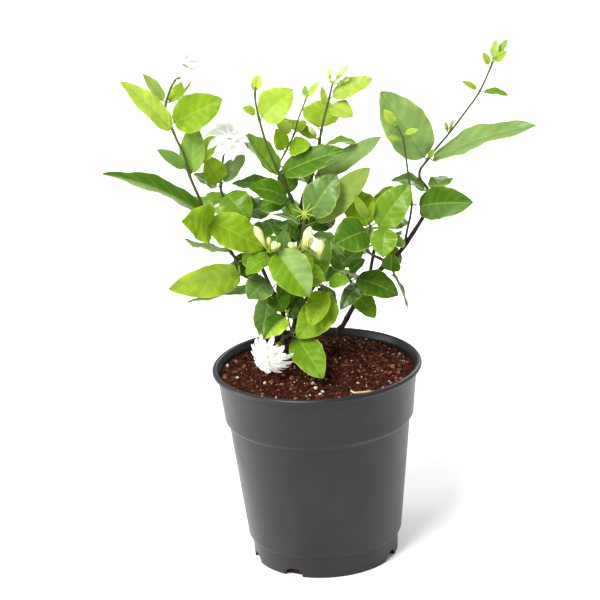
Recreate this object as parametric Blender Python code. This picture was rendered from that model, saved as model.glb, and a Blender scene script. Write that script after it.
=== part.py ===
"""A jasmine in a plastic nursery pot: pot, soil, woody stems, leafy shoots, blooms and buds.

Sizes and places are in millimetres and become metres as each object is made. The origin is the centre
of the pot's underside, +Z is up, and the plant's front looks along -Y.
"""

import math
from typing import NamedTuple

import bmesh
import bpy
from mathutils import Vector, noise
from mathutils.bvhtree import BVHTree

METRES = 0.001

# Pot: outer radii and heights, from the floor to the rim
FOOT_RADIUS = 52.4
FOOT_HEIGHT = 15.0
BODY_LOW_RADIUS = 55.7
BODY_TOP_RADIUS = 65.2
LEDGE_HEIGHT = 105.0
BAND_LOW_RADIUS = 67.9
BAND_TOP_RADIUS = 71.4
RIM_RADIUS = 75.0
POT_HEIGHT = 145.0
RIM_DEPTH = 4.4
WALL = 1.6
FLOOR = 2.2
FOOT_FLARE = 0.7
FOOT_STEP = 2.4
LEDGE_UNDER = 1.0
LEDGE_OVER = 2.0
RIM_ROUND = 1.4
RIM_LIP = 3.4
POT_SIDES = 36
SHARP_ANGLE = 35.0

# Drain notches through the lower edge of the wall: one in eight of them is left out
NOTCH_WIDTH = 13.0
NOTCH_HEIGHT = 4.2
NOTCH_DEPTH = 4.5
NOTCH_STEP = 45.0
NOTCH_FIRST = -28.0
NOTCH_LEFT_OUT = 1
NOTCH_ARCH_STEPS = 4
NOTCH_OUTER = 4.0
NOTCH_BELOW = 2.0

# Soil: it fills the pot and is heaped towards the back
SOIL_EDGE = 138.6
HEAP_HEIGHT = 13.0
HEAP_SPREAD = 30.0
HEAP_CENTRE = (4.0, 26.0)
CRUMB = 1.1
CRUMB_SIZE = 9.0
SOIL_SIDES = 26
SOIL_RINGS = 5
CLEARANCE = 0.35
HOLE_DEPTH = 22.0
HOLE_ABOVE = 12.0
HOLE_SIDES = 10
STEM_STRAIGHT = (3.0, 7.0)

# Leaf: an ovate blade on a short stalk
BLADE = 0.8
GUARD = 2.2
STALK_RADIUS = 0.55
STALK_SHORTEST = 3.0
STALK_BEND = 0.75
OUTLINE_RISE = 0.52
OUTLINE_FALL = 0.75
WIDEST = OUTLINE_RISE / (OUTLINE_RISE + OUTLINE_FALL)
OUTLINE_SCALE = 1.0 / (WIDEST**OUTLINE_RISE * (1.0 - WIDEST) ** OUTLINE_FALL)
WAVE = 0.05
WAVES = 2.2
WAVE_SHIFT = 2.0
SMALL_LEAF = 32.0
TINY_LEAF = 15.0
LARGE_STATIONS = (0.12, 0.36, 0.66, 0.90)
SMALL_STATIONS = (0.24, 0.70)
TINY_STATIONS = (0.45,)
TIP_WIDTH = 0.8
SWING_STEP = 0.07
SWING_STEPS = 10
TURNS = (0.0, 15.0, -15.0, 30.0, -30.0, 45.0, -45.0)

# Stems and twigs: no leaf or flower stalk grows from the first bit of green, which meets the wood
STEM_SIDES = 5
TWIG_RADIUS = (0.7, 0.5)
BARE_START = 2.2
JOINT_GAP = 0.3

# Blooms, buds and calyx lobes: stations are shares of the length with a share of the width
PETAL_THICK = 0.7
PETALS = 7
PETAL_STATIONS = ((0.36, 0.80), (0.72, 1.0), (1.0, 0.14))
PETAL_CURL = 0.25
LAYER_TURN = 0.4
TUBE_NECK = 0.6
TUBE_STEPS = (0.0, 1.5, 2.8, 4.0)
TUBE_RADII = (1.3, 1.6, 2.4, 2.9, 2.4, 1.4)
BUD_STATIONS = ((0.0, 0.42), (0.30, 0.86), (0.70, 0.94), (1.0, 0.14))
BUD_STALK_RADIUS = 0.55
BUD_CALYX = 1.6
LOBE_RADIUS = 0.45
LOBE_SIDES = 4
LOBE_SPREAD = 0.86
LOBE_RISE = 0.30
LOBE_UNEVEN = 0.24
LOBE_TURN = 2.6
CUP_RADIUS = (1.0, 1.9)

# Places on the plant are given as across, up and deep: across and up are where the point shows in the
# upright plane through the pot's axis to an eye at EYE, and deep is how far it lies behind that plane.
EYE = Vector((-9.6, -1605.3, 747.8))


class Leaf(NamedTuple):
    """A leaf blade from its base to its tip; roll turns its upper face from the eye (0) to the sky (90)."""

    base: tuple
    tip: tuple
    width: float
    roll: float = 20.0
    fold: float = 12.0
    arch: float = 3.0


class Bud(NamedTuple):
    """A closed flower bud on its own thin green stalk."""

    base: tuple
    tip: tuple
    radius: float


class Bloom(NamedTuple):
    """An open flower: layers of petals round a short tube."""

    name: str
    start: tuple
    centre: tuple
    reach: float
    petal_width: float
    layers: tuple


class Shoot(NamedTuple):
    """A leafy shoot: the first points of its route are wood of the stem that it grows from."""

    name: str
    wood: str
    route: tuple
    wood_points: int
    radius: tuple
    leaves: tuple
    twigs: tuple = ()
    buds: tuple = ()
    bloom: Bloom = None
    lobes: tuple = ()


class Stem(NamedTuple):
    """A woody stem that stands in a hole in the soil."""

    name: str
    foot: tuple
    route: tuple
    radius: tuple


STEMS = (
    Stem(
        "wood_main",
        foot=(-13.5, 21.0),
        route=((-14, 172, 18), (-11, 190, 14), (-8.5, 215, 10), (-8, 240, 6), (-10, 257, 4)),
        radius=(3.4, 1.5),
    ),
    Stem(
        "wood_left",
        foot=(-22.0, 12.0),
        route=((-22, 172, 11), (-23, 188, 8), (-32, 204, 2), (-50, 221, -4)),
        radius=(2.2, 1.3),
    ),
    Stem(
        "wood_right",
        foot=(17.5, 42.0),
        route=(
            (20, 172, 42),
            (27, 184, 38),
            (38, 199, 32),
            (48, 212, 26),
            (62, 224, 22),
            (79.5, 249, 18),
            (83.4, 258, 16.6),
            (83.5, 262, 16),
        ),
        radius=(2.3, 1.2),
    ),
)

SHOOTS = (
    Shoot(
        "shoot_tall_left",
        wood="wood_left",
        route=(
            (-50, 221, -4),
            (-57, 232, -5),
            (-63, 243, -6),
            (-71, 257, -6),
            (-76, 272, -6),
            (-81.5, 288, -5),
            (-84.5, 303, -4),
            (-89, 315, -2),
            (-93, 328, 0),
            (-95, 338, 2),
            (-91, 350, 4),
            (-86, 358, 4),
        ),
        wood_points=0,
        radius=(1.2, 0.75),
        leaves=(
            Leaf((-67.5, 250.5, -8), (-89.5, 255.5, -34), 29, roll=5, fold=20, arch=4),
            Leaf((-69.5, 254.5, -9), (-33.5, 232, -26), 26, roll=12, fold=12, arch=4),
            Leaf((-74, 258.5, -5), (-142, 292.5, -12), 21, roll=54, fold=24, arch=5),
            Leaf((-51, 213.5, -5), (-102, 206, -20), 23, roll=12, fold=14, arch=3),
            Leaf((-91.5, 319.5, -2), (-125, 357.5, -14), 17, roll=30, fold=16, arch=3),
            Leaf((-90.5, 326, -2), (-55.5, 341.5, -12), 26, roll=8, fold=8, arch=3),
            Leaf((-58, 230, -4), (-88, 242, 18), 18, roll=74, fold=10, arch=-2),
            Leaf((-49, 224, -8), (-30, 225, -16), 15, roll=25),
            Leaf((-68, 260, 0), (-84, 273, 18), 14, roll=60),
            Leaf((-85, 292, -6), (-103, 308, -14), 10, roll=20, fold=20, arch=1),
            Leaf((-80, 290, -2), (-76, 325, 10), 18, roll=10, arch=2),
            Leaf((-76, 295, 2), (-60.5, 315.5, 22), 15, roll=30),
            Leaf((-96, 341, 2), (-109, 362, -2), 9, roll=30, arch=1),
            Leaf((-92, 341, 5), (-76, 357, 20), 10, roll=30, arch=1),
            Leaf((-54.5, 226.5, 2), (-39, 211.5, 10), 17, roll=20),
        ),
        bloom=Bloom(
            "bloom_top_left",
            start=(-86, 358, 4),
            centre=(-81, 366, -1),
            reach=16.5,
            petal_width=7.5,
            layers=((12, 1.0), (44, 0.84), (70, 0.6)),
        ),
    ),
    Shoot(
        "shoot_inner_left",
        wood="wood_main",
        route=(
            (-11, 190, 14),
            (-20, 215, 18),
            (-33, 238, 20),
            (-43, 251, 20),
            (-50, 260, 18),
            (-57, 269, 16),
            (-60.5, 277, 14),
            (-59, 289, 13),
            (-57.5, 300, 12),
            (-55.5, 306, 9),
        ),
        wood_points=3,
        radius=(1.4, 0.75),
        leaves=(
            Leaf((-57, 273, 11), (-42, 252, -4), 23, roll=10, fold=6, arch=5),
            Leaf((-58, 280, 14), (-42, 301, 20), 14, roll=30, fold=20, arch=1),
            Leaf((-62.5, 279.5, 12), (-69.5, 301.5, 2), 17, roll=10, arch=2),
            Leaf((-63.5, 279, 12), (-79, 289, -4), 13, roll=50, arch=1),
            Leaf((-58, 269, 20), (-80, 264, 44), 17, roll=60),
            Leaf((-46, 258, 22), (-28, 262, 40), 20, roll=30),
        ),
        bloom=Bloom(
            "bloom_upper_left",
            start=(-55.5, 306, 9),
            centre=(-53, 313, 4),
            reach=16.5,
            petal_width=7.0,
            layers=((10, 1.0), (42, 0.84), (70, 0.6)),
        ),
    ),
    Shoot(
        "shoot_centre_left",
        wood="wood_main",
        route=(
            (-10, 257, 4),
            (-12, 268, 3),
            (-15, 275, 2),
            (-22, 293, 0),
            (-26.5, 306, -1),
            (-30.5, 323, -2),
            (-33, 340, -2),
            (-32, 350, -2),
        ),
        wood_points=0,
        radius=(1.3, 0.65),
        leaves=(
            Leaf((-19.5, 285, -1), (27, 300.5, -10), 21, roll=25, fold=12, arch=3),
            Leaf((-15, 268, 0), (-41, 277, -8), 19, roll=30, fold=10, arch=4),
            Leaf((-30, 325.5, -3), (-6.5, 345.5, -12), 24, roll=12, fold=10, arch=3),
            Leaf((-21.5, 275, 7), (-52.5, 280.5, 24), 16, roll=50),
            Leaf((-21.5, 285.5, 3), (-45, 317.5, 12), 21, roll=45, fold=24, arch=2),
            Leaf((-10, 270, 3), (-16, 290, 14), 15, roll=10),
            Leaf((-14, 264, -1), (-9, 246, -10), 10, roll=10, arch=2),
            Leaf((-13, 268, 5), (-34, 262, 16), 16, roll=25),
            Leaf((-33, 328.5, -3), (-42.5, 334.5, -8), 7, roll=30, arch=1),
            Leaf((-32.5, 345, -2), (-29.5, 357, -3), 8, roll=20, arch=0.5),
            Leaf((-31.5, 343, -2), (-33, 354.5, 4), 6, roll=20, arch=0.5),
            Leaf((-15, 301, 6), (-20, 318.5, 0), 12, roll=20, arch=1),
            Leaf((-6, 313, 9), (1, 323, 18), 8, roll=30, arch=1),
            Leaf((-12, 302, 7), (4, 305.5, -6), 14, roll=25, arch=2),
            Leaf((-9.5, 314, 8), (-20, 324.5, 0), 9, roll=20, arch=1),
            Leaf((2.5, 340, 9), (11.5, 350, 6), 4.5, roll=20, arch=0.5),
            Leaf((0, 338, 9), (2, 348, 14), 4.5, roll=20, arch=0.5),
        ),
        twigs=(((-21, 290, 0), (-14, 302, 6), (-8, 313, 8), (-4, 325, 9), (0, 334, 9), (2, 339, 9)),),
    ),
    Shoot(
        "shoot_centre_right",
        wood="wood_main",
        route=(
            (-8, 238, 7),
            (-6, 250, 14),
            (-5.5, 262, 15),
            (-3, 271, 14),
            (3.5, 284, 13),
            (8.7, 302.5, 12),
            (10.6, 312, 12),
            (13.8, 324.5, 12),
            (17.4, 336.5, 12),
            (20.5, 348, 11),
        ),
        wood_points=2,
        radius=(1.3, 0.7),
        leaves=(
            Leaf((7, 283, 11), (52.5, 308.5, -2), 16, roll=25, fold=16, arch=-2),
            Leaf((19, 337.5, 12), (48.5, 350, 6), 15, roll=30, fold=14, arch=2),
            Leaf((16, 333.5, 11), (33.5, 324, 4), 15, roll=30, arch=2),
            Leaf((9, 318, 20), (16.5, 336, 32), 27, roll=20, arch=2),
            Leaf((14, 305, 12), (35.5, 304, 4), 12, roll=66, arch=3),
            Leaf((7.5, 309, 13), (-16.5, 325.5, 22), 12, roll=50, arch=1),
            Leaf((14.5, 334, 10), (13, 347, 2), 5, roll=10, arch=1),
            Leaf((5, 287, 18), (-10, 292, 40), 15, roll=50),
        ),
        buds=(
            Bud((24, 352, 9), (31.5, 361, 6), 2.1),
            Bud((19, 352, 11), (18.5, 360, 13), 1.5),
            Bud((26, 349, 11), (33, 352, 13), 1.8),
            Bud((7, 311, 8), (3, 319, 4), 1.9),
        ),
    ),
    Shoot(
        "shoot_long_right",
        wood="wood_right",
        route=(
            (83.5, 262, 16),
            (83, 270, 16),
            (78.5, 277, 15),
            (78.5, 283, 14),
            (82, 288, 13),
            (90, 298, 11),
            (99, 308, 10),
            (111, 323, 9),
            (121, 336.5, 8),
            (129, 352.7, 8),
            (131, 358, 8),
        ),
        wood_points=0,
        radius=(1.1, 0.6),
        leaves=(
            Leaf((77.5, 257.5, 13), (115, 257.5, -12), 25, roll=12, fold=16, arch=4),
            Leaf((88, 289.5, 11), (160.5, 310.5, -4), 25, roll=54, fold=16, arch=5),
            Leaf((83, 291, 14), (53.5, 341, 16), 33, roll=12, fold=10, arch=4),
            Leaf((81.5, 268, 12), (58, 276.5, 0), 15, roll=55, arch=5),
            Leaf((87, 268, 20), (100, 276, 44), 16, roll=50),
            Leaf((84, 290, 10), (89, 298, 4), 4, roll=10, arch=0.5),
            Leaf((119, 339, 8), (109.5, 345, 4), 4.5, roll=30, arch=0.5),
            Leaf((124, 336, 8), (141, 333, 2), 7, roll=50, arch=2),
            Leaf((128, 354, 8), (124.5, 364.5, 5), 5, roll=20, arch=0.5),
            Leaf((131.5, 356, 8), (141, 364.5, 4), 6, roll=20, arch=0.5),
            Leaf((131.5, 361, 8), (134, 373, 10), 6, roll=10, arch=0.5),
            Leaf((132.5, 360, 9), (141.5, 372.5, 14), 6, roll=30, arch=0.5),
        ),
        buds=(Bud((98.5, 311, 9), (97, 317, 6), 1.4), Bud((100.5, 312, 11), (102.5, 318, 14), 1.3)),
    ),
    Shoot(
        "shoot_thin_right",
        wood="wood_right",
        route=(
            (66, 230.5, 21),
            (68, 240, 12),
            (71, 252, 5),
            (72, 262, 3),
            (70.5, 278, 2),
            (68.2, 302, 1),
            (66.5, 310, 0),
            (63, 316, 0),
        ),
        wood_points=1,
        radius=(0.95, 0.6),
        leaves=(
            Leaf((62, 318, -1), (55, 328, -4), 7, roll=10, arch=1),
            Leaf((69, 310, 0), (78.5, 312.5, -4), 4, roll=20, arch=0.5),
            Leaf((66, 306, 0), (56.5, 307.5, -6), 4, roll=40, arch=0.5),
        ),
    ),
    Shoot(
        "shoot_right_front",
        wood="wood_right",
        route=(
            (51, 214.6, 25),
            (50, 219, 16),
            (45, 222, 7),
            (40, 226, -1),
            (39, 233, -9),
            (42, 242, -13),
            (41.5, 248, -14),
        ),
        wood_points=2,
        radius=(1.2, 0.8),
        leaves=(
            Leaf((39, 241, -17), (16, 232, -34), 27, roll=12, fold=10, arch=4),
            Leaf((48.5, 243.5, -15), (71, 273.5, -9), 23, roll=10, fold=10, arch=3),
            Leaf((52.5, 242, -17), (50.5, 221, -28), 19, roll=5, arch=3),
            Leaf((39.5, 244.5, -10), (29.5, 272.5, 6), 25, roll=15, arch=3),
            Leaf((47, 247, -8), (59, 273, 10), 18, roll=20, arch=2),
            Leaf((40, 251, -16), (32, 268, -22), 7, roll=0, arch=1),
            Leaf((42.5, 251, -15), (45, 263, -18), 4.5, roll=0, arch=0.5),
            Leaf((53, 243, -8), (68, 247, 8), 13, roll=30),
            Leaf((54, 234, -2), (66, 229, 8), 8, roll=20),
            Leaf((37, 228, -1), (22, 216, 8), 14, roll=30),
        ),
    ),
    Shoot(
        "shoot_low_right",
        wood="wood_right",
        route=((30, 188, 36), (29.5, 194, 26), (28.5, 200, 14), (26, 206, 3), (24.5, 211, -3)),
        wood_points=1,
        radius=(1.2, 0.8),
        leaves=(
            Leaf((31, 206, 5), (60, 192, -8), 21, roll=22, fold=8, arch=4),
            Leaf((30, 194, 12), (43, 176, 2), 15, roll=15, arch=3),
            Leaf((32.5, 200, -1), (18.5, 183.5, -18), 13, roll=10, arch=5),
            Leaf((26, 212, -5), (38, 220, -12), 10, roll=30, arch=1),
            Leaf((22, 212, -2), (14, 224, 8), 12, roll=20, arch=2),
        ),
    ),
    Shoot(
        "shoot_side_right",
        wood="wood_right",
        route=((57.5, 220, 23), (57.5, 217, 17), (57.5, 213, 11), (57.5, 209, 6)),
        wood_points=1,
        radius=(0.9, 0.7),
        leaves=(
            Leaf((56, 211, 2), (56.5, 224, -12), 14, roll=10, arch=1),
            Leaf((57.5, 208, 4), (66, 181.5, 2), 10, roll=80, arch=1),
        ),
    ),
    Shoot(
        "shoot_low_middle",
        wood="wood_main",
        route=((-10, 199, 12.5), (-5, 202, 9), (1, 203, 3), (7, 202, -4), (10, 198, -7)),
        wood_points=1,
        radius=(1.2, 0.8),
        leaves=(
            Leaf((7, 198, -9), (-3, 172, -26), 17, roll=5, arch=3),
            Leaf((15, 191, -7), (-13, 164, -16), 25, roll=10, arch=3),
            Leaf((12, 205, -6), (26.5, 204.5, -18), 11, roll=15, arch=2),
            Leaf((4, 211, -5), (13, 237, -10), 13, roll=10, arch=2),
            Leaf((-1, 205, 6), (-6, 226, 22), 16, roll=20),
            Leaf((3, 201, 2), (14, 184, 14), 14, roll=20),
            Leaf((-7.5, 195.5, 8), (-18, 179.5, 14), 15, roll=15),
        ),
    ),
    Shoot(
        "shoot_low_front",
        wood="wood_main",
        route=(
            (-14, 171, 18),
            (-14.5, 170, 10),
            (-15.5, 168, 0),
            (-17, 167, -8),
            (-22, 165, -13),
            (-26, 161, -16),
        ),
        wood_points=1,
        radius=(1.3, 0.8),
        leaves=(
            Leaf((-13, 164, -9), (4, 132, -42), 23, roll=5, fold=8, arch=3),
            Leaf((-21, 182, -12), (-36, 165, -24), 18, roll=20, fold=22, arch=2),
        ),
        twigs=(((-17, 167, -7), (-18, 175, -9), (-19, 182, -10)),),
        bloom=Bloom(
            "bloom_low_front",
            start=(-26, 161, -16),
            centre=(-32, 153, -22),
            reach=16.0,
            petal_width=5.4,
            layers=((6, 1.0), (38, 0.84), (68, 0.55)),
        ),
    ),
    Shoot(
        "shoot_low_left",
        wood="wood_left",
        route=((-27, 197.5, 5), (-29, 200, 0), (-31.5, 202, -5), (-35, 204, -9)),
        wood_points=1,
        radius=(1.0, 0.75),
        leaves=(
            Leaf((-31.5, 208, -11), (-46.5, 195.5, -22), 21, roll=15, arch=2),
            Leaf((-38, 203, -5), (-89, 195, 8), 18, roll=70, fold=6, arch=2),
            Leaf((-32, 198, -6), (-37, 164, -8), 17, roll=10, arch=2),
            Leaf((-29, 201, -1), (-22, 184, -6), 17, roll=20),
            Leaf((-25, 206, -2), (-16, 190.5, 4), 15, roll=20),
        ),
    ),
    Shoot(
        "shoot_bud_left",
        wood="wood_main",
        route=((-9.2, 207, 11.5), (-13, 212, 4), (-18, 218, -5), (-24, 225, -13), (-28.5, 229, -17)),
        wood_points=1,
        radius=(1.2, 0.8),
        leaves=(
            Leaf((-24, 229, -17), (-3, 194.5, -34), 28, roll=5, fold=12, arch=5),
            Leaf((-11, 212, -3), (9.5, 206, -16), 20, roll=15, arch=3),
            Leaf((-19, 229, -9), (-18, 245, -14), 12, roll=10, arch=2),
            Leaf((-28, 227, -13), (-46.5, 213, -4), 18, roll=30),
            Leaf((-20, 221, -3), (-34, 242, 10), 18, roll=15),
        ),
        buds=(
            Bud((-32, 234, -20), (-38.5, 249, -24), 2.8),
            Bud((-29.3, 233.6, -19.6), (-29.2, 240.5, -21.4), 1.6),
            Bud((-27, 231.5, -21), (-24.5, 236, -28), 2.5),
            Bud((-24.5, 231.5, -19), (-21.5, 235.5, -23), 1.4),
        ),
    ),
    Shoot(
        "shoot_centre_front",
        wood="wood_main",
        route=(
            (-8.2, 225, 8.4),
            (-8, 228, 3),
            (-7.5, 231, -4),
            (-6.5, 238, -12),
            (-4.5, 247, -18),
            (-3.5, 253, -21),
        ),
        wood_points=1,
        radius=(1.2, 0.8),
        leaves=(
            Leaf((1, 254.5, -18), (21, 283, -14), 25, roll=15, fold=10, arch=4),
            Leaf((5, 250, -12), (44, 287, -6), 21, roll=15, arch=3),
            Leaf((-7, 249, -21), (-25.5, 256.5, -27), 7, roll=60, arch=2),
            Leaf((-1, 246, -13), (18, 251, 0), 15, roll=20, arch=2),
            Leaf((-7, 227, -7), (-1, 212, -12), 11, roll=10, arch=2),
            Leaf((-9, 235, -7), (-26, 250, 4), 16, roll=20),
        ),
        buds=(
            Bud((-5.5, 230.5, -20), (0.5, 246.5, -30), 2.9),
            Bud((-2, 230.5, -16), (1.5, 238, -22), 1.9),
            Bud((-10, 230.5, -13), (-15.5, 235, -20), 2.3),
            Bud((5, 224, -17), (7, 236, -27), 3.2),
        ),
        lobes=((-3.5, 253, -21), (-3.5, 256.5, -25), 9, 9.5),
    ),
    Shoot(
        "shoot_back_left",
        wood="wood_left",
        route=(
            (-22.5, 186, 8.5),
            (-30, 204, 30),
            (-38, 226, 46),
            (-44, 242, 54),
            (-50, 254, 58),
            (-54, 262, 60),
        ),
        wood_points=2,
        radius=(1.5, 0.8),
        leaves=(
            Leaf((-47, 240, 58), (-66, 248, 80), 22, roll=60),
            Leaf((-38, 238, 50), (-20, 252, 66), 20, roll=50),
            Leaf((-52, 254, 62), (-76, 262, 76), 20, roll=70),
            Leaf((-46, 252, 60), (-34, 270, 84), 20, roll=60),
            Leaf((-40, 222, 47), (-62, 217, 66), 20, roll=60),
            Leaf((-55, 266, 61), (-58, 274, 74), 9, roll=60, arch=1),
        ),
    ),
    Shoot(
        "shoot_back_middle",
        wood="wood_main",
        route=((-8.4, 218, 10), (-5, 232, 28), (-2, 248, 42), (0, 264, 52), (3, 280, 56), (5, 288, 57)),
        wood_points=2,
        radius=(1.5, 0.8),
        leaves=(
            Leaf((-5, 254, 48), (-30, 266, 68), 22, roll=60),
            Leaf((2, 250, 47), (20, 262, 76), 22, roll=60),
            Leaf((5, 278, 54), (33, 293, 60), 17, roll=60),
            Leaf((0, 278, 58), (-18, 291, 78), 18, roll=60),
            Leaf((2, 240, 34), (22, 224, 32), 18, roll=30),
            Leaf((-6, 250, 40), (-22, 239, 34), 14, roll=30),
            Leaf((4, 290, 58), (10, 295, 72), 9, roll=60, arch=1),
        ),
    ),
    Shoot(
        "shoot_back_right",
        wood="wood_right",
        route=((39.5, 201, 31), (42, 216, 42), (46, 234, 50), (51, 250, 55), (55, 260, 57)),
        wood_points=2,
        radius=(1.4, 0.8),
        leaves=(
            Leaf((43, 232, 52), (26, 240, 78), 22, roll=60),
            Leaf((49, 232, 54), (60, 236, 84), 22, roll=70),
            Leaf((40, 228, 48), (22, 221, 46), 15, roll=40),
            Leaf((51, 225.5, 48), (63, 216, 50), 13, roll=40),
            Leaf((48, 250, 56), (30, 262, 68), 18, roll=50),
            Leaf((54, 251, 58), (76, 258, 76), 18, roll=70),
            Leaf((56, 261, 58), (61, 268, 72), 10, roll=60, arch=1),
        ),
    ),
    Shoot(
        "shoot_back_low",
        wood="wood_main",
        route=((-12.5, 181, 16.5), (-6, 192, 32), (1, 202, 44), (5, 212, 52), (7, 219, 55)),
        wood_points=2,
        radius=(1.3, 0.8),
        leaves=(
            Leaf((-3, 205, 48), (-22, 208, 70), 21, roll=70),
            Leaf((6, 206, 46), (34, 207, 66), 21, roll=60),
            Leaf((3, 219, 56), (-14, 228, 74), 18, roll=60),
            Leaf((10, 219, 55), (34, 226, 72), 18, roll=60),
            Leaf((7, 222, 56), (9, 228, 70), 10, roll=60, arch=1),
        ),
    ),
)

# A dry stalk that lies on the soil: places across and towards the back
STALK_ROUTE = ((22.5, -48.0), (25.0, -52.0), (30.0, -51.0), (36.5, -49.5))
STALK_THICK = 0.9

COLOURS = {
    "pot": (0.060, 0.060, 0.066),
    "soil": (0.070, 0.026, 0.014),
    "dry_stalk": (0.60, 0.48, 0.25),
    "wood": (0.060, 0.042, 0.020),
    "shoot": (0.150, 0.330, 0.020),
    "bloom": (0.90, 0.90, 0.88),
    "bud": (0.86, 0.86, 0.62),
}
ROUGHNESS = {
    "pot": 0.42,
    "soil": 0.95,
    "dry_stalk": 0.8,
    "wood": 0.8,
    "shoot": 0.45,
    "bloom": 0.6,
    "bud": 0.55,
}


def seen(place):
    """The point at depth place[2] that shows at place[0], place[1] in the upright plane through the axis."""
    across, up, deep = place
    sight = Vector((across, 0.0, up)) - EYE
    return EYE + sight * ((deep - EYE.y) / -EYE.y)


def soil_height(x, y):
    """The soil's height there: crumbly, heaped, and level where it meets the pot's wall."""
    away = (x - HEAP_CENTRE[0]) ** 2 + (y - HEAP_CENTRE[1]) ** 2
    edge = min(1.0, math.hypot(x, y) / (BAND_TOP_RADIUS - WALL))
    heap = HEAP_HEIGHT * math.exp(-away / (2.0 * HEAP_SPREAD**2))
    crumbs = CRUMB * noise.noise(Vector((x, y, 0.0)) / CRUMB_SIZE)
    return SOIL_EDGE + (heap + crumbs) * (1.0 - edge**4)


def across_axes(axis):
    """Two directions square to an axis and to each other."""
    out = axis.orthogonal().normalized()
    return out, axis.cross(out)


def around(out, other, count, shift=0.0):
    """Directions evenly spaced round a circle."""
    turns = (2.0 * math.pi * (k + shift) / count for k in range(count))
    return [out * math.cos(turn) + other * math.sin(turn) for turn in turns]


def material_for(kind):
    """One Principled material for each kind of piece."""
    found = bpy.data.materials.get(kind)
    if found:
        return found
    made = bpy.data.materials.new(kind)
    made.use_nodes = True
    shader = made.node_tree.nodes["Principled BSDF"]
    shader.inputs["Base Color"].default_value = (*COLOURS[kind], 1.0)
    shader.inputs["Roughness"].default_value = ROUGHNESS[kind]
    shader.inputs["Metallic"].default_value = 0.0
    made.diffuse_color = (*COLOURS[kind], 1.0)
    return made


def object_from(name, bm, kind):
    """An object from a bmesh in millimetres, with its material."""
    bmesh.ops.scale(bm, vec=Vector((METRES, METRES, METRES)), verts=bm.verts)
    mesh = bpy.data.meshes.new(name)
    bm.to_mesh(mesh)
    bm.free()
    soften(mesh)
    mesh.materials.append(material_for(kind))
    made = bpy.data.objects.new(name, mesh)
    bpy.context.scene.collection.objects.link(made)
    return made


def soften(mesh):
    """Smooth shading, with the real edges kept sharp."""
    mesh.shade_smooth()
    mesh.set_sharp_from_angle(angle=math.radians(SHARP_ANGLE))


def tree_of(made):
    """A search tree of an object's mesh, in millimetres."""
    points = [vert.co / METRES for vert in made.data.vertices]
    return BVHTree.FromPolygons(points, [tuple(face.vertices) for face in made.data.polygons])


class Skin:
    """A closed skin through rings of points: a stretch of stem, a leaf, a bud or a cutter."""

    def __init__(self, rings, mirrored=()):
        """Joins each ring to the next; on the mirrored sides the quads are split the other way."""
        count = len(rings[0])
        self.points = [point for ring in rings for point in ring]
        self.faces = [tuple(reversed(range(count)))]
        for row in range(len(rings) - 1):
            low = row * count
            high = low + count
            for i in range(count):
                j = (i + 1) % count
                a, b, c, d = low + i, low + j, high + j, high + i
                if i in mirrored:
                    self.faces += [(a, b, d), (b, c, d)]
                else:
                    self.faces += [(a, b, c), (a, c, d)]
        last = (len(rings) - 1) * count
        self.faces.append(tuple(range(last, last + count)))

    def tree(self):
        """A search tree for crossings."""
        return BVHTree.FromPolygons(self.points, self.faces)

    def to_bmesh(self):
        """The skin as a bmesh of triangles."""
        bm = bmesh.new()
        verts = [bm.verts.new(point) for point in self.points]
        for face in self.faces:
            bm.faces.new([verts[i] for i in face])
        bmesh.ops.triangulate(bm, faces=[face for face in bm.faces if len(face.verts) > 3])
        bmesh.ops.recalc_face_normals(bm, faces=bm.faces)
        return bm


def tube(route, radii, sides=STEM_SIDES):
    """A closed tube along a route, with a radius at each point."""
    side = Vector((1.0, 0.0, 0.0))
    rings = []
    for i, centre in enumerate(route):
        before = route[max(i - 1, 0)]
        after = route[min(i + 1, len(route) - 1)]
        along = (after - before).normalized()
        side = (side - along * side.dot(along)).normalized()
        rings.append([centre + way * radii[i] for way in around(side, along.cross(side), sides)])
    return Skin(rings)


def tapered(route, radius):
    """Radii that fall evenly from the start of a route to its end."""
    first, last = radius
    steps = max(len(route) - 1, 1)
    return [first + (last - first) * i / steps for i in range(len(route))]


def nearest_on(route, point, skip=0.0):
    """The place nearest to a point on a route, at least skip from its start."""
    best = None
    run = 0.0
    for a, b in zip(route, route[1:]):
        span = (b - a).length
        share = max(0.0, min(1.0, (point - a).dot(b - a) / span**2))
        if run + share * span < skip:
            share = min(1.0, max(0.0, (skip - run) / span))
        place = a.lerp(b, share)
        if run + span >= skip and (best is None or (place - point).length < (best - point).length):
            best = place
        run += span
    return best


def outline(along):
    """Half the blade's width there, as a share of the most."""
    return OUTLINE_SCALE * along**OUTLINE_RISE * (1.0 - along) ** OUTLINE_FALL


class Frame(NamedTuple):
    """Where a blade lies: its start, its run to the tip, and the directions of its side and upper face."""

    start: Vector
    run: Vector
    side: Vector
    upper: Vector


def leaf_frame(leaf, root, swing=0.0, turn=0.0):
    """The blade's frame, with its tip moved along the line of sight by swing and its face turned."""
    across, up, deep = leaf.tip
    base = seen(leaf.base)
    tip = seen((across, up, deep + swing))
    if (base - root).length < STALK_SHORTEST:
        base = root + (tip - root).normalized() * STALK_SHORTEST
    along = (tip - base).normalized()
    sight = (EYE - base.lerp(tip, 0.5)).normalized()
    facing = (sight - along * sight.dot(along)).normalized()
    skyward = along.cross(facing)
    if skyward.z < 0:
        skyward = -skyward
    angle = math.radians(leaf.roll + turn)
    upper = facing * math.cos(angle) + skyward * math.sin(angle)
    return Frame(base, tip - base, upper.cross(along), upper)


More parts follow.
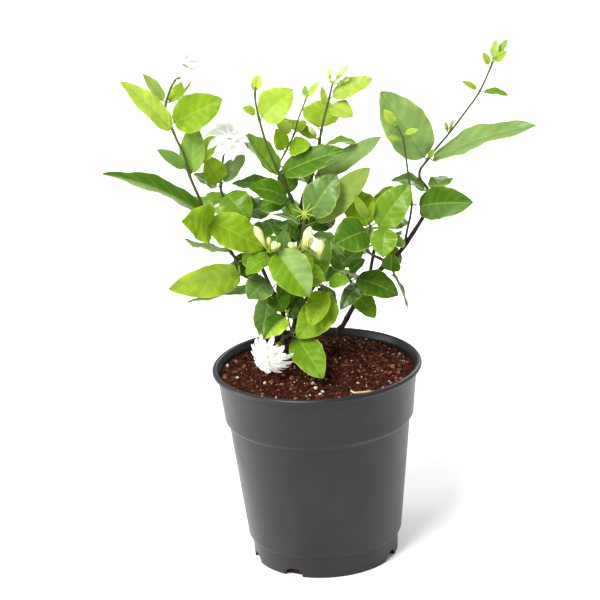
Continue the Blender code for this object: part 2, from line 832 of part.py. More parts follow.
def section(centre, frame, half, thick, fold=0.0, lifts=(0.0, 0.0)):
    """Six points round a blade: left, middle and right above, then right, middle and left below."""
    rise = half * math.sin(fold)
    reach = frame.side * half * math.cos(fold)
    skin = frame.upper * thick * 0.5
    left = centre - reach + frame.upper * (rise + lifts[0])
    right = centre + reach + frame.upper * (rise + lifts[1])
    return [left + skin, centre + skin, right + skin, right - skin, centre - skin, left - skin]


def stalk_ring(centre, side, along):
    """A six-sided ring square to the leaf stalk, in the order of the blade's sections."""
    along = along.normalized()
    wide = (side - along * side.dot(along)).normalized() * STALK_RADIUS
    high = along.cross(wide)
    return [
        centre - wide + high * 0.5,
        centre + high,
        centre + wide + high * 0.5,
        centre + wide - high * 0.5,
        centre - high,
        centre - wide - high * 0.5,
    ]


def stations_for(length):
    """Where along a blade its sections lie: fewer on a small one."""
    if length > SMALL_LEAF:
        return LARGE_STATIONS
    return SMALL_STATIONS if length > TINY_LEAF else TINY_STATIONS


def leaf_skin(leaf, root, frame, extra=0.0, stalk=True):
    """A leaf as one closed skin; extra makes it thicker and wider for a test of clearance."""
    length = frame.run.length
    rings = []
    if stalk:
        way = (frame.start - root).normalized()
        rings.append(stalk_ring(root, frame.side, way))
        if length > SMALL_LEAF:
            rings.append(stalk_ring(root.lerp(frame.start, STALK_BEND), frame.side, way + frame.run / length))
    fold = math.radians(leaf.fold)
    for share in stations_for(length):
        half = leaf.width * 0.5 * outline(share) + extra * 0.4
        bow = frame.upper * leaf.arch * 4.0 * share * (1.0 - share)
        phase = 2.0 * math.pi * WAVES * share
        lifts = [leaf.width * WAVE * math.sin(phase + shift) for shift in (0.0, WAVE_SHIFT)]
        centre = frame.start + frame.run * share + bow
        rings.append(section(centre, frame, half, BLADE + extra, fold, lifts))
    tip = frame.start + frame.run * (1.0 + 0.5 * extra / length)
    rings.append(section(tip, frame, TIP_WIDTH * 0.5, BLADE + extra))
    return Skin(rings, mirrored=(3, 4))


def swings(leaf):
    """Moves of a leaf's tip along the line of sight, small ones first, then with the leaf turned too."""
    step = SWING_STEP * (Vector(leaf.tip) - Vector(leaf.base)).length
    for turn in TURNS:
        yield 0.0, turn
        for k in range(1, SWING_STEPS + 1):
            yield step * k, turn
            yield -step * k, turn


def place_leaf(leaf, root, others, own):
    """The leaf's frame, bent clear of the other pieces and, with its blade, of its own shoot's blades."""
    for swing, turn in swings(leaf):
        frame = leaf_frame(leaf, root, swing, turn)
        whole = leaf_skin(leaf, root, frame, extra=GUARD - BLADE).tree()
        if any(whole.overlap(tree) for tree in others):
            continue
        blade = leaf_skin(leaf, root, frame, extra=GUARD - BLADE, stalk=False).tree()
        if not any(blade.overlap(tree) for tree in own):
            return frame
    raise ValueError(f"no clear place for the leaf at {leaf.base}")


def fuse(name, skins, kind):
    """One body from overlapping skins: a Boolean union on a collection, applied."""
    first = object_from(name, skins[0].to_bmesh(), kind)
    if len(skins) > 1:
        others = bpy.data.collections.new(name + "_others")
        bpy.context.scene.collection.children.link(others)
        for i, skin in enumerate(skins[1:]):
            other = object_from(f"{name}_{i}", skin.to_bmesh(), kind)
            bpy.context.scene.collection.objects.unlink(other)
            others.objects.link(other)
        union = first.modifiers.new("union", "BOOLEAN")
        union.operation = "UNION"
        union.operand_type = "COLLECTION"
        union.collection = others
        apply_modifiers(first)
        for other in list(others.objects):
            bpy.data.objects.remove(other)
        bpy.data.collections.remove(others)
    return first


def apply_modifiers(made):
    """Gives an object the mesh that its modifiers make."""
    graph = bpy.context.evaluated_depsgraph_get()
    result = bpy.data.meshes.new_from_object(made.evaluated_get(graph))
    made.modifiers.clear()
    made.data = result


def cut(target, cutter):
    """Takes a cutter away from an object and removes it."""
    cutter.hide_render = True
    cutter.display_type = "WIRE"
    difference = target.modifiers.new("cut", "BOOLEAN")
    difference.operation = "DIFFERENCE"
    difference.object = cutter
    apply_modifiers(target)
    bpy.data.objects.remove(cutter)


def turned(profile, sides):
    """A bmesh turned about the Z axis from a profile that starts and ends on it."""
    bm = bmesh.new()
    verts = [bm.verts.new((radius, 0.0, height)) for radius, height in profile]
    edges = [bm.edges.new(pair) for pair in zip(verts, verts[1:])]
    bmesh.ops.spin(
        bm,
        geom=verts + edges,
        cent=(0.0, 0.0, 0.0),
        axis=(0.0, 0.0, 1.0),
        angle=2.0 * math.pi,
        steps=sides,
        use_merge=True,
    )
    bmesh.ops.remove_doubles(bm, verts=bm.verts, dist=0.001)
    bmesh.ops.recalc_face_normals(bm, faces=bm.faces)
    return bm


def make_pot():
    """The thin moulded pot, with its rolled rim, band, ledge and stepped foot."""
    rim_low = POT_HEIGHT - RIM_DEPTH
    profile = [
        (0.0, 0.0),
        (FOOT_RADIUS, 0.0),
        (FOOT_RADIUS + FOOT_FLARE, FOOT_HEIGHT),
        (BODY_LOW_RADIUS, FOOT_HEIGHT + FOOT_STEP),
        (BODY_TOP_RADIUS, LEDGE_HEIGHT - LEDGE_UNDER),
        (BAND_LOW_RADIUS, LEDGE_HEIGHT + LEDGE_OVER),
        (BAND_TOP_RADIUS, rim_low - RIM_ROUND),
        (RIM_RADIUS - RIM_ROUND * 0.5, rim_low),
        (RIM_RADIUS, rim_low + RIM_ROUND * 0.5),
        (RIM_RADIUS, POT_HEIGHT - RIM_ROUND),
        (RIM_RADIUS - RIM_ROUND, POT_HEIGHT),
        (RIM_RADIUS - RIM_LIP, POT_HEIGHT - 0.4),
        (BAND_TOP_RADIUS - WALL, rim_low - RIM_ROUND),
        (BAND_LOW_RADIUS - WALL, LEDGE_HEIGHT + LEDGE_OVER + WALL),
        (BODY_TOP_RADIUS - WALL, LEDGE_HEIGHT - LEDGE_UNDER),
        (BODY_LOW_RADIUS - WALL, FOOT_HEIGHT + FOOT_STEP + WALL),
        (FOOT_RADIUS + FOOT_FLARE - WALL, FOOT_HEIGHT),
        (FOOT_RADIUS - WALL, FLOOR),
        (0.0, FLOOR),
    ]
    pot = object_from("pot", turned(profile, POT_SIDES), "pot")
    for k in range(int(360.0 / NOTCH_STEP)):
        if k != NOTCH_LEFT_OUT:
            cut(pot, notch_cutter(NOTCH_FIRST + NOTCH_STEP * k))
    soften(pot.data)
    return pot


def notch_cutter(degrees):
    """An arched block through the wall's lower edge, at an angle from the front."""
    half = NOTCH_WIDTH * 0.5
    turns = [math.pi * k / NOTCH_ARCH_STEPS for k in range(NOTCH_ARCH_STEPS + 1)]
    arch = [(half * math.cos(turn), max(NOTCH_HEIGHT * math.sin(turn), 0.0)) for turn in turns]
    arch += [(-half, -NOTCH_BELOW), (half, -NOTCH_BELOW)]
    angle = math.radians(degrees)
    out = Vector((math.sin(angle), -math.cos(angle), 0.0))
    wide = Vector((math.cos(angle), math.sin(angle), 0.0))
    rings = [
        [out * (FOOT_RADIUS + depth) + wide * x + Vector((0.0, 0.0, z)) for x, z in arch]
        for depth in (-NOTCH_DEPTH, NOTCH_OUTER)
    ]
    return object_from("notch", Skin(rings).to_bmesh(), "pot")


def make_soil():
    """The filling, which stays clear of the pot, with its heaped and crumbly top."""
    gap = WALL + CLEARANCE
    edge = BAND_TOP_RADIUS - gap - 0.1
    profile = [
        (0.0, FLOOR + CLEARANCE),
        (FOOT_RADIUS - gap, FLOOR + CLEARANCE),
        (FOOT_RADIUS + FOOT_FLARE - gap, FOOT_HEIGHT),
        (BODY_LOW_RADIUS - gap, FOOT_HEIGHT + FOOT_STEP + WALL + 1.0),
        (BODY_TOP_RADIUS - gap, LEDGE_HEIGHT),
        (BAND_LOW_RADIUS - gap, LEDGE_HEIGHT + LEDGE_OVER + WALL + 1.0),
        (edge, SOIL_EDGE),
    ]
    profile += [(edge * (1.0 - (k + 1) / SOIL_RINGS), SOIL_EDGE + 0.01) for k in range(SOIL_RINGS)]
    bm = turned(profile, SOIL_SIDES)
    for vert in bm.verts:
        if vert.co.z > SOIL_EDGE:
            vert.co.z = soil_height(vert.co.x, vert.co.y)
    bmesh.ops.triangulate(bm, faces=bm.faces)
    bmesh.ops.recalc_face_normals(bm, faces=bm.faces)
    soil = object_from("soil", bm, "soil")
    for stem in STEMS:
        cut(soil, hole_cutter(stem))
    return soil


def hole_cutter(stem):
    """A plain round hole for a stem's foot."""
    x, y = stem.foot
    top = soil_height(x, y)
    radius = (stem.radius[0] + CLEARANCE) / math.cos(math.pi / HOLE_SIDES)
    route = [Vector((x, y, top - HOLE_DEPTH)), Vector((x, y, top + HOLE_ABOVE))]
    return object_from("hole", tube(route, [radius, radius], HOLE_SIDES).to_bmesh(), "soil")


def make_dry_stalk(soil_tree):
    """The dry stalk, which lies on the crumbs under it."""
    down = Vector((0.0, 0.0, -1.0))
    heights = [soil_tree.ray_cast(Vector((x, y, 2.0 * POT_HEIGHT)), down)[0].z for x, y in STALK_ROUTE]
    rest = STALK_THICK + JOINT_GAP
    route = [Vector((x, y, high + rest)) for (x, y), high in zip(STALK_ROUTE, heights)]
    fuse("dry_stalk", [tube(route, tapered(route, (STALK_THICK * 0.8, STALK_THICK)))], "dry_stalk")


def stem_route(stem):
    """The woody stem's route: straight up out of its hole, then along its points."""
    x, y = stem.foot
    top = soil_height(x, y)
    heights = (CLEARANCE - HOLE_DEPTH, *STEM_STRAIGHT)
    return [Vector((x, y, top + height)) for height in heights] + [seen(place) for place in stem.route]


def bud_skin(base, tip, radius):
    """A plump closed bud."""
    route = [base.lerp(tip, share) for share, _ in BUD_STATIONS]
    return tube(route, [radius * wide for _, wide in BUD_STATIONS])


def lobe_skins(start, end, count, reach):
    """A calyx cup at the end of a stalk, with thin lobes spread round it."""
    axis = (end - start).normalized()
    skins = [tube([start - axis, end], CUP_RADIUS)]
    for k, away in enumerate(around(*across_axes(axis), count)):
        rise = LOBE_RISE + LOBE_UNEVEN * math.sin(LOBE_TURN * k)
        tip = end + (away * LOBE_SPREAD + axis * rise) * reach
        low = end - axis * 0.8 + away * 0.4
        skins.append(tube([low, tip], [LOBE_RADIUS * 1.3, LOBE_RADIUS], LOBE_SIDES))
    return skins


def grow_petal(bm, face, out, axis, bloom, share, rise):
    """A petal drawn out of a face of the tube in steps, which bends back as it goes."""
    side = axis.cross(out).normalized()
    root = face.calc_center_median()
    for along, wide in PETAL_STATIONS:
        angle = rise - PETAL_CURL * along
        way = out * math.cos(angle) + axis * math.sin(angle)
        normal = axis * math.cos(angle) - out * math.sin(angle)
        centre = root + way * bloom.reach * share * along
        reach = side * bloom.petal_width * share * wide * 0.5
        thick = normal * PETAL_THICK * 0.5
        low, high = centre - thick, centre + thick
        corners = (low - reach, low + reach, high + reach, high - reach)
        face = bmesh.ops.extrude_discrete_faces(bm, faces=[face])["faces"][0]
        for vert, corner in zip(face.verts, corners):
            vert.co = corner


def bloom_bmesh(bloom):
    """The bloom's tube, with layers of petals drawn out of its faces."""
    start, centre = seen(bloom.start), seen(bloom.centre)
    axis = (centre - start).normalized()
    start = start + axis * JOINT_GAP
    out, other = across_axes(axis)
    places = [start, start.lerp(centre, TUBE_NECK)] + [centre + axis * step for step in TUBE_STEPS]
    bm = bmesh.new()
    rows = []
    for place, radius in zip(places, TUBE_RADII):
        rows.append([bm.verts.new(place + way * radius) for way in around(out, other, PETALS)])
    bm.faces.new(reversed(rows[0]))
    bm.faces.new(rows[-1])
    bands = []
    for low, high in zip(rows, rows[1:]):
        pairs = zip(range(PETALS), [*range(1, PETALS), 0])
        bands.append([bm.faces.new((low[k], low[j], high[j], high[k])) for k, j in pairs])
    for layer, (rise, share) in enumerate(bloom.layers):
        ways = around(out, other, PETALS, 0.5 + LAYER_TURN * (layer % 2))
        inner = layer // 2
        for k in range(0, PETALS - inner, 1 + inner):
            grow_petal(bm, bands[2 + layer][k], ways[k], axis, bloom, share, math.radians(rise))
    bmesh.ops.triangulate(bm, faces=bm.faces)
    bmesh.ops.recalc_face_normals(bm, faces=bm.faces)
    return bm


class Plant:
    """The stems and shoots as skins by node, and search trees of all that a leaf has to stay clear of."""

    def __init__(self, fixed):
        """Starts with the search trees of the pot and the soil."""
        self.trees = {"fixed": list(fixed)}
        self.skins = {}
        self.kinds = {}
        self.routes = {}

    def add(self, name, kind, skins):
        """Adds skins to a node."""
        self.kinds[name] = kind
        self.skins.setdefault(name, []).extend(skins)
        self.trees.setdefault(name, []).extend(skin.tree() for skin in skins)

    def add_stem(self, stem):
        """A woody stem."""
        route = stem_route(stem)
        self.add(stem.name, "wood", [tube(route, tapered(route, stem.radius))])

    def add_stalks(self, shoot):
        """The shoot's stalk: wood up to its first green point, with a small gap, then green with twigs."""
        route = [seen(place) for place in shoot.route]
        radii = tapered(route, shoot.radius)
        start = shoot.wood_points
        if start:
            self.add(shoot.wood, "wood", [tube(route[: start + 1], radii[: start + 1])])
        along = (route[start + 1] - route[start]).normalized()
        green = [route[start] + along * JOINT_GAP, *route[start + 1 :]]
        twigs = [[seen(place) for place in twig] for twig in shoot.twigs]
        self.routes[shoot.name] = (green, twigs)
        self.add(shoot.name, "shoot", [tube(green, radii[start:])])
        self.add(shoot.name, "shoot", [tube(twig, tapered(twig, TWIG_RADIUS)) for twig in twigs])

    def add_flowers(self, shoot):
        """The shoot's bloom, its buds on their stalks, and the calyx of a flower that has dropped."""
        green, _ = self.routes[shoot.name]
        for i, bud in enumerate(shoot.buds):
            base, tip = seen(bud.base), seen(bud.tip)
            root = nearest_on(green, base, BARE_START)
            along = (tip - base).normalized()
            radii = [BUD_STALK_RADIUS, BUD_STALK_RADIUS, bud.radius * BUD_STATIONS[0][1]]
            self.add(shoot.name, "shoot", [tube([root, base - along * BUD_CALYX, base], radii)])
            name = f"{shoot.name.replace('shoot', 'bud')}_{i + 1}"
            self.add(name, "bud", [bud_skin(base + along * JOINT_GAP, tip, bud.radius)])
        if shoot.bloom:
            made = object_from(shoot.bloom.name, bloom_bmesh(shoot.bloom), "bloom")
            self.trees[shoot.bloom.name] = [tree_of(made)]
        if shoot.lobes:
            start, end, count, reach = shoot.lobes
            self.add(shoot.name, "shoot", lobe_skins(seen(start), seen(end), count, reach))

    def leaf_root(self, shoot, base):
        """The place on the shoot's stalks that a leaf's own stalk grows from."""
        green, twigs = self.routes[shoot.name]
        places = [nearest_on(green, base, BARE_START)] + [nearest_on(twig, base) for twig in twigs]
        return min(places, key=lambda place: (place - base).length)

    def add_leaves(self, shoot):
        """The shoot's leaves, each bent clear of the other nodes and of the blades before it."""
        others = [tree for name, trees in self.trees.items() if name != shoot.name for tree in trees]
        blades = []
        for leaf in shoot.leaves:
            root = self.leaf_root(shoot, seen(leaf.base))
            frame = place_leaf(leaf, root, others, blades)
            self.add(shoot.name, "shoot", [leaf_skin(leaf, root, frame)])
            blades.append(leaf_skin(leaf, root, frame, stalk=False).tree())

    def make_objects(self):
        """One fused object for each node."""
        for name, skins in self.skins.items():
            fuse(name, skins, self.kinds[name])


def main():
    """Builds the pot, the soil and the dry stalk, and then the plant, its leaves last."""
    for old in list(bpy.data.objects):
        bpy.data.objects.remove(old)
    pot = make_pot()
    soil = make_soil()
    soil_tree = tree_of(soil)
    make_dry_stalk(soil_tree)
    plant = Plant([tree_of(pot), soil_tree])
    for stem in STEMS:
        plant.add_stem(stem)
    for shoot in SHOOTS:
        plant.add_stalks(shoot)
    for shoot in SHOOTS:
        plant.add_flowers(shoot)
    for shoot in SHOOTS:
        plant.add_leaves(shoot)
    plant.make_objects()


main()
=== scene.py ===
"""The look of a potted jasmine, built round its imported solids: pot, soil, stems, shoots, blooms and buds.

Sizes and places are in millimetres here and become metres as each piece is finished. Every leaf, petal
and bud lies where its solid lies.
"""

import logging
import math
import random
from collections.abc import Callable, Iterator, Sequence
from dataclasses import dataclass, field
from enum import Enum

import bmesh
import bpy
from mathutils import Euler, Matrix, Vector, noise
from mathutils.kdtree import KDTree


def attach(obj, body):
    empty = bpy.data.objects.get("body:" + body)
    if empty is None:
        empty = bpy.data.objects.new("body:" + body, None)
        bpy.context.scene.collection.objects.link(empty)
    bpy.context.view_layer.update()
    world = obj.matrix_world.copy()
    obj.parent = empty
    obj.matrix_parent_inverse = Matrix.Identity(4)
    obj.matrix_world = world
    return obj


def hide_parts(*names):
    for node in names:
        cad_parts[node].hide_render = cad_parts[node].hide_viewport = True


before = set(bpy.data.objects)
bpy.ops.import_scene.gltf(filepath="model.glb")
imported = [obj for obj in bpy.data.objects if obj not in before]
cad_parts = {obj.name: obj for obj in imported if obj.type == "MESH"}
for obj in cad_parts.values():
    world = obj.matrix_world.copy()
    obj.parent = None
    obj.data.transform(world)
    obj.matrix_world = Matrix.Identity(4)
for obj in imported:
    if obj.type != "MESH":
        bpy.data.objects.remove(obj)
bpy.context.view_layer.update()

LOG = logging.getLogger("jasmine")
MM = 0.001
SEED = 20
# How many faces a batch of a piece may have before it joins the whole
SPILL = 1200
# Faces that meet at more than this many degrees keep a sharp edge
SHARP = 55.0
# Farther than any leaf or shoot from a place on its stalk
FAR = 99.0
# The slots of a leafy shoot's materials
UPPER, LOWER, STALK = range(3)

Place = tuple[float, float, float]
Colour = tuple[float, float, float]

# The eye that the plant's places are read from, by seen()
EYE = Vector((-9.6, -1605.3, 747.8))


def seen(place: Place) -> Vector:
    """The point at depth place[2] that shows at place[0], place[1] in the upright plane through the axis.

    Args:
        place: Across, up and deep, in millimetres.

    Returns:
        The point in the pot's own frame.
    """
    across, up, deep = place
    sight = Vector((across, 0.0, up)) - EYE
    return EYE + sight * ((deep - EYE.y) / -EYE.y)


def smooth_route(points: Sequence[Vector], per_span: int) -> list[Vector]:
    """Adds points to a route on a Catmull-Rom curve through it.

    Args:
        points: The route's own points.
        per_span: How many points each span gets.

    Returns:
        The finer route.
    """
    padded = [2 * points[0] - points[1], *points, 2 * points[-1] - points[-2]]
    route = []
    for a, b, c, d in zip(padded, padded[1:], padded[2:], padded[3:]):
        for step in range(per_span):
            t = step / per_span
            linear = (c - a) * t
            square = (2 * a - 5 * b + 4 * c - d) * t**2
            cubic = (3 * b - a - 3 * c + d) * t**3
            route.append(0.5 * (2 * b + linear + square + cubic))
    route.append(points[-1])
    return route


def nearest_on(route: Sequence[Vector], point: Vector, skip: float = 0.0) -> Vector:
    """Finds the place nearest to a point on a route.

    Args:
        route: The route's points.
        point: The point to come near to.
        skip: How far from the route's start the place must be.

    Returns:
        The place on the route.
    """
    best = None
    run = 0.0
    for a, b in zip(route, route[1:]):
        span = (b - a).length
        share = max(0.0, min(1.0, (point - a).dot(b - a) / span**2))
        if run + share * span < skip:
            share = min(1.0, max(0.0, (skip - run) / span))
        place = a.lerp(b, share)
        if run + span >= skip and (best is None or (place - point).length < (best - point).length):
            best = place
        run += span
    return best


def across_axes(axis: Vector) -> tuple[Vector, Vector]:
    """Two directions square to an axis and to each other."""
    out = axis.orthogonal().normalized()
    return out, axis.cross(out)


def around(out: Vector, other: Vector, count: int, shift: float = 0.0) -> list[Vector]:
    """Directions evenly spaced round a circle, the first one turned by a share of a step."""
    turns = [2.0 * math.pi * (k + shift) / count for k in range(count)]
    return [out * math.cos(turn) + other * math.sin(turn) for turn in turns]


def wave(share: float, waves: float, shift: float) -> float:
    """A sine wave along a share from 0 to 1."""
    return math.sin(2.0 * math.pi * waves * share + shift)


def bell(distance: float, reach: float) -> float:
    """A smooth bump: 1 at no distance and falling off over reach."""
    return math.exp(-((distance / reach) ** 2))


def blend(first: Sequence[float], second: Sequence[float], share: float) -> Colour:
    """A colour between two, by the share of the second."""
    return tuple(a + (b - a) * share for a, b in zip(first, second))


class Tone(Enum):
    """The upper face of a leaf, as linear colour; two grey-greens hold a painted sheen."""

    YOUNG = (0.400, 0.540, 0.060)
    FRESH = (0.300, 0.450, 0.026)
    BRIGHT = (0.195, 0.340, 0.008)
    OLIVE = (0.230, 0.290, 0.018)
    MID = (0.115, 0.240, 0.007)
    DARK = (0.048, 0.130, 0.004)
    DEEP = (0.020, 0.066, 0.003)
    # A grey-green leaf colour with a painted sheen in it
    SHEEN_GREY = (0.180, 0.290, 0.080)
    # A pale grey-green leaf colour with a painted sheen in it
    SHEEN_PALE = (0.230, 0.340, 0.110)
    SAGE = (0.085, 0.170, 0.035)


YOUNG, FRESH, BRIGHT, OLIVE, MID, DARK, DEEP, SHEEN_GREY, SHEEN_PALE, SAGE = Tone


@dataclass(frozen=True)
class Leaf:
    """A leaf: its base and tip, and how it turns from the eye (0) to the sky (90), folds and arches."""

    base: Place
    tip: Place
    width: float
    tone: Tone
    roll: float = 20.0
    fold: float = 12.0
    arch: float = 3.0
    # Painted light and shade: the tone of the blade's second half, lighter or darker as light falls on that
    # side of the fold
    other: Tone | None = None


@dataclass(frozen=True)
class Bud:
    """A closed flower bud on its own thin green stalk."""

    base: Place
    tip: Place
    radius: float


@dataclass(frozen=True)
class Bloom:
    """An open flower: layers of petals, each with its rise and its share of the reach."""

    name: str
    start: Place
    centre: Place
    reach: float
    petal_width: float
    layers: tuple[tuple[float, float], ...]


@dataclass(frozen=True)
class Shoot:
    """A leafy shoot: the first points of its route are wood of the stem that it grows from."""

    name: str
    wood: str
    route: tuple[Place, ...]
    wood_points: int
    radius: tuple[float, float]
    leaves: tuple[Leaf, ...]
    twigs: tuple[tuple[Place, ...], ...] = ()
    buds: tuple[Bud, ...] = ()
    bloom: Bloom | None = None
    lobes: tuple[Place, Place, int, float] | None = None


@dataclass(frozen=True)
class Stem:
    """A woody stem that stands in the soil."""

    name: str
    foot: tuple[float, float]
    route: tuple[Place, ...]
    radius: tuple[float, float]


STEMS = (
    Stem(
        "wood_main", foot=(-13.5, 21.0), radius=(3.4, 1.5),
        route=((-14, 172, 18), (-11, 190, 14), (-8.5, 215, 10), (-8, 240, 6), (-10, 257, 4)),
    ),
    Stem(
        "wood_left", foot=(-22.0, 12.0), radius=(2.2, 1.3),
        route=((-22, 172, 11), (-23, 188, 8), (-32, 204, 2), (-50, 221, -4)),
    ),
    Stem(
        "wood_right", foot=(17.5, 42.0), radius=(2.3, 1.2),
        route=(
            (20, 172, 42), (27, 184, 38), (38, 199, 32), (48, 212, 26), (62, 224, 22), (79.5, 249, 18),
            (83.4, 258, 16.6), (83.5, 262, 16),
        ),
    ),
)

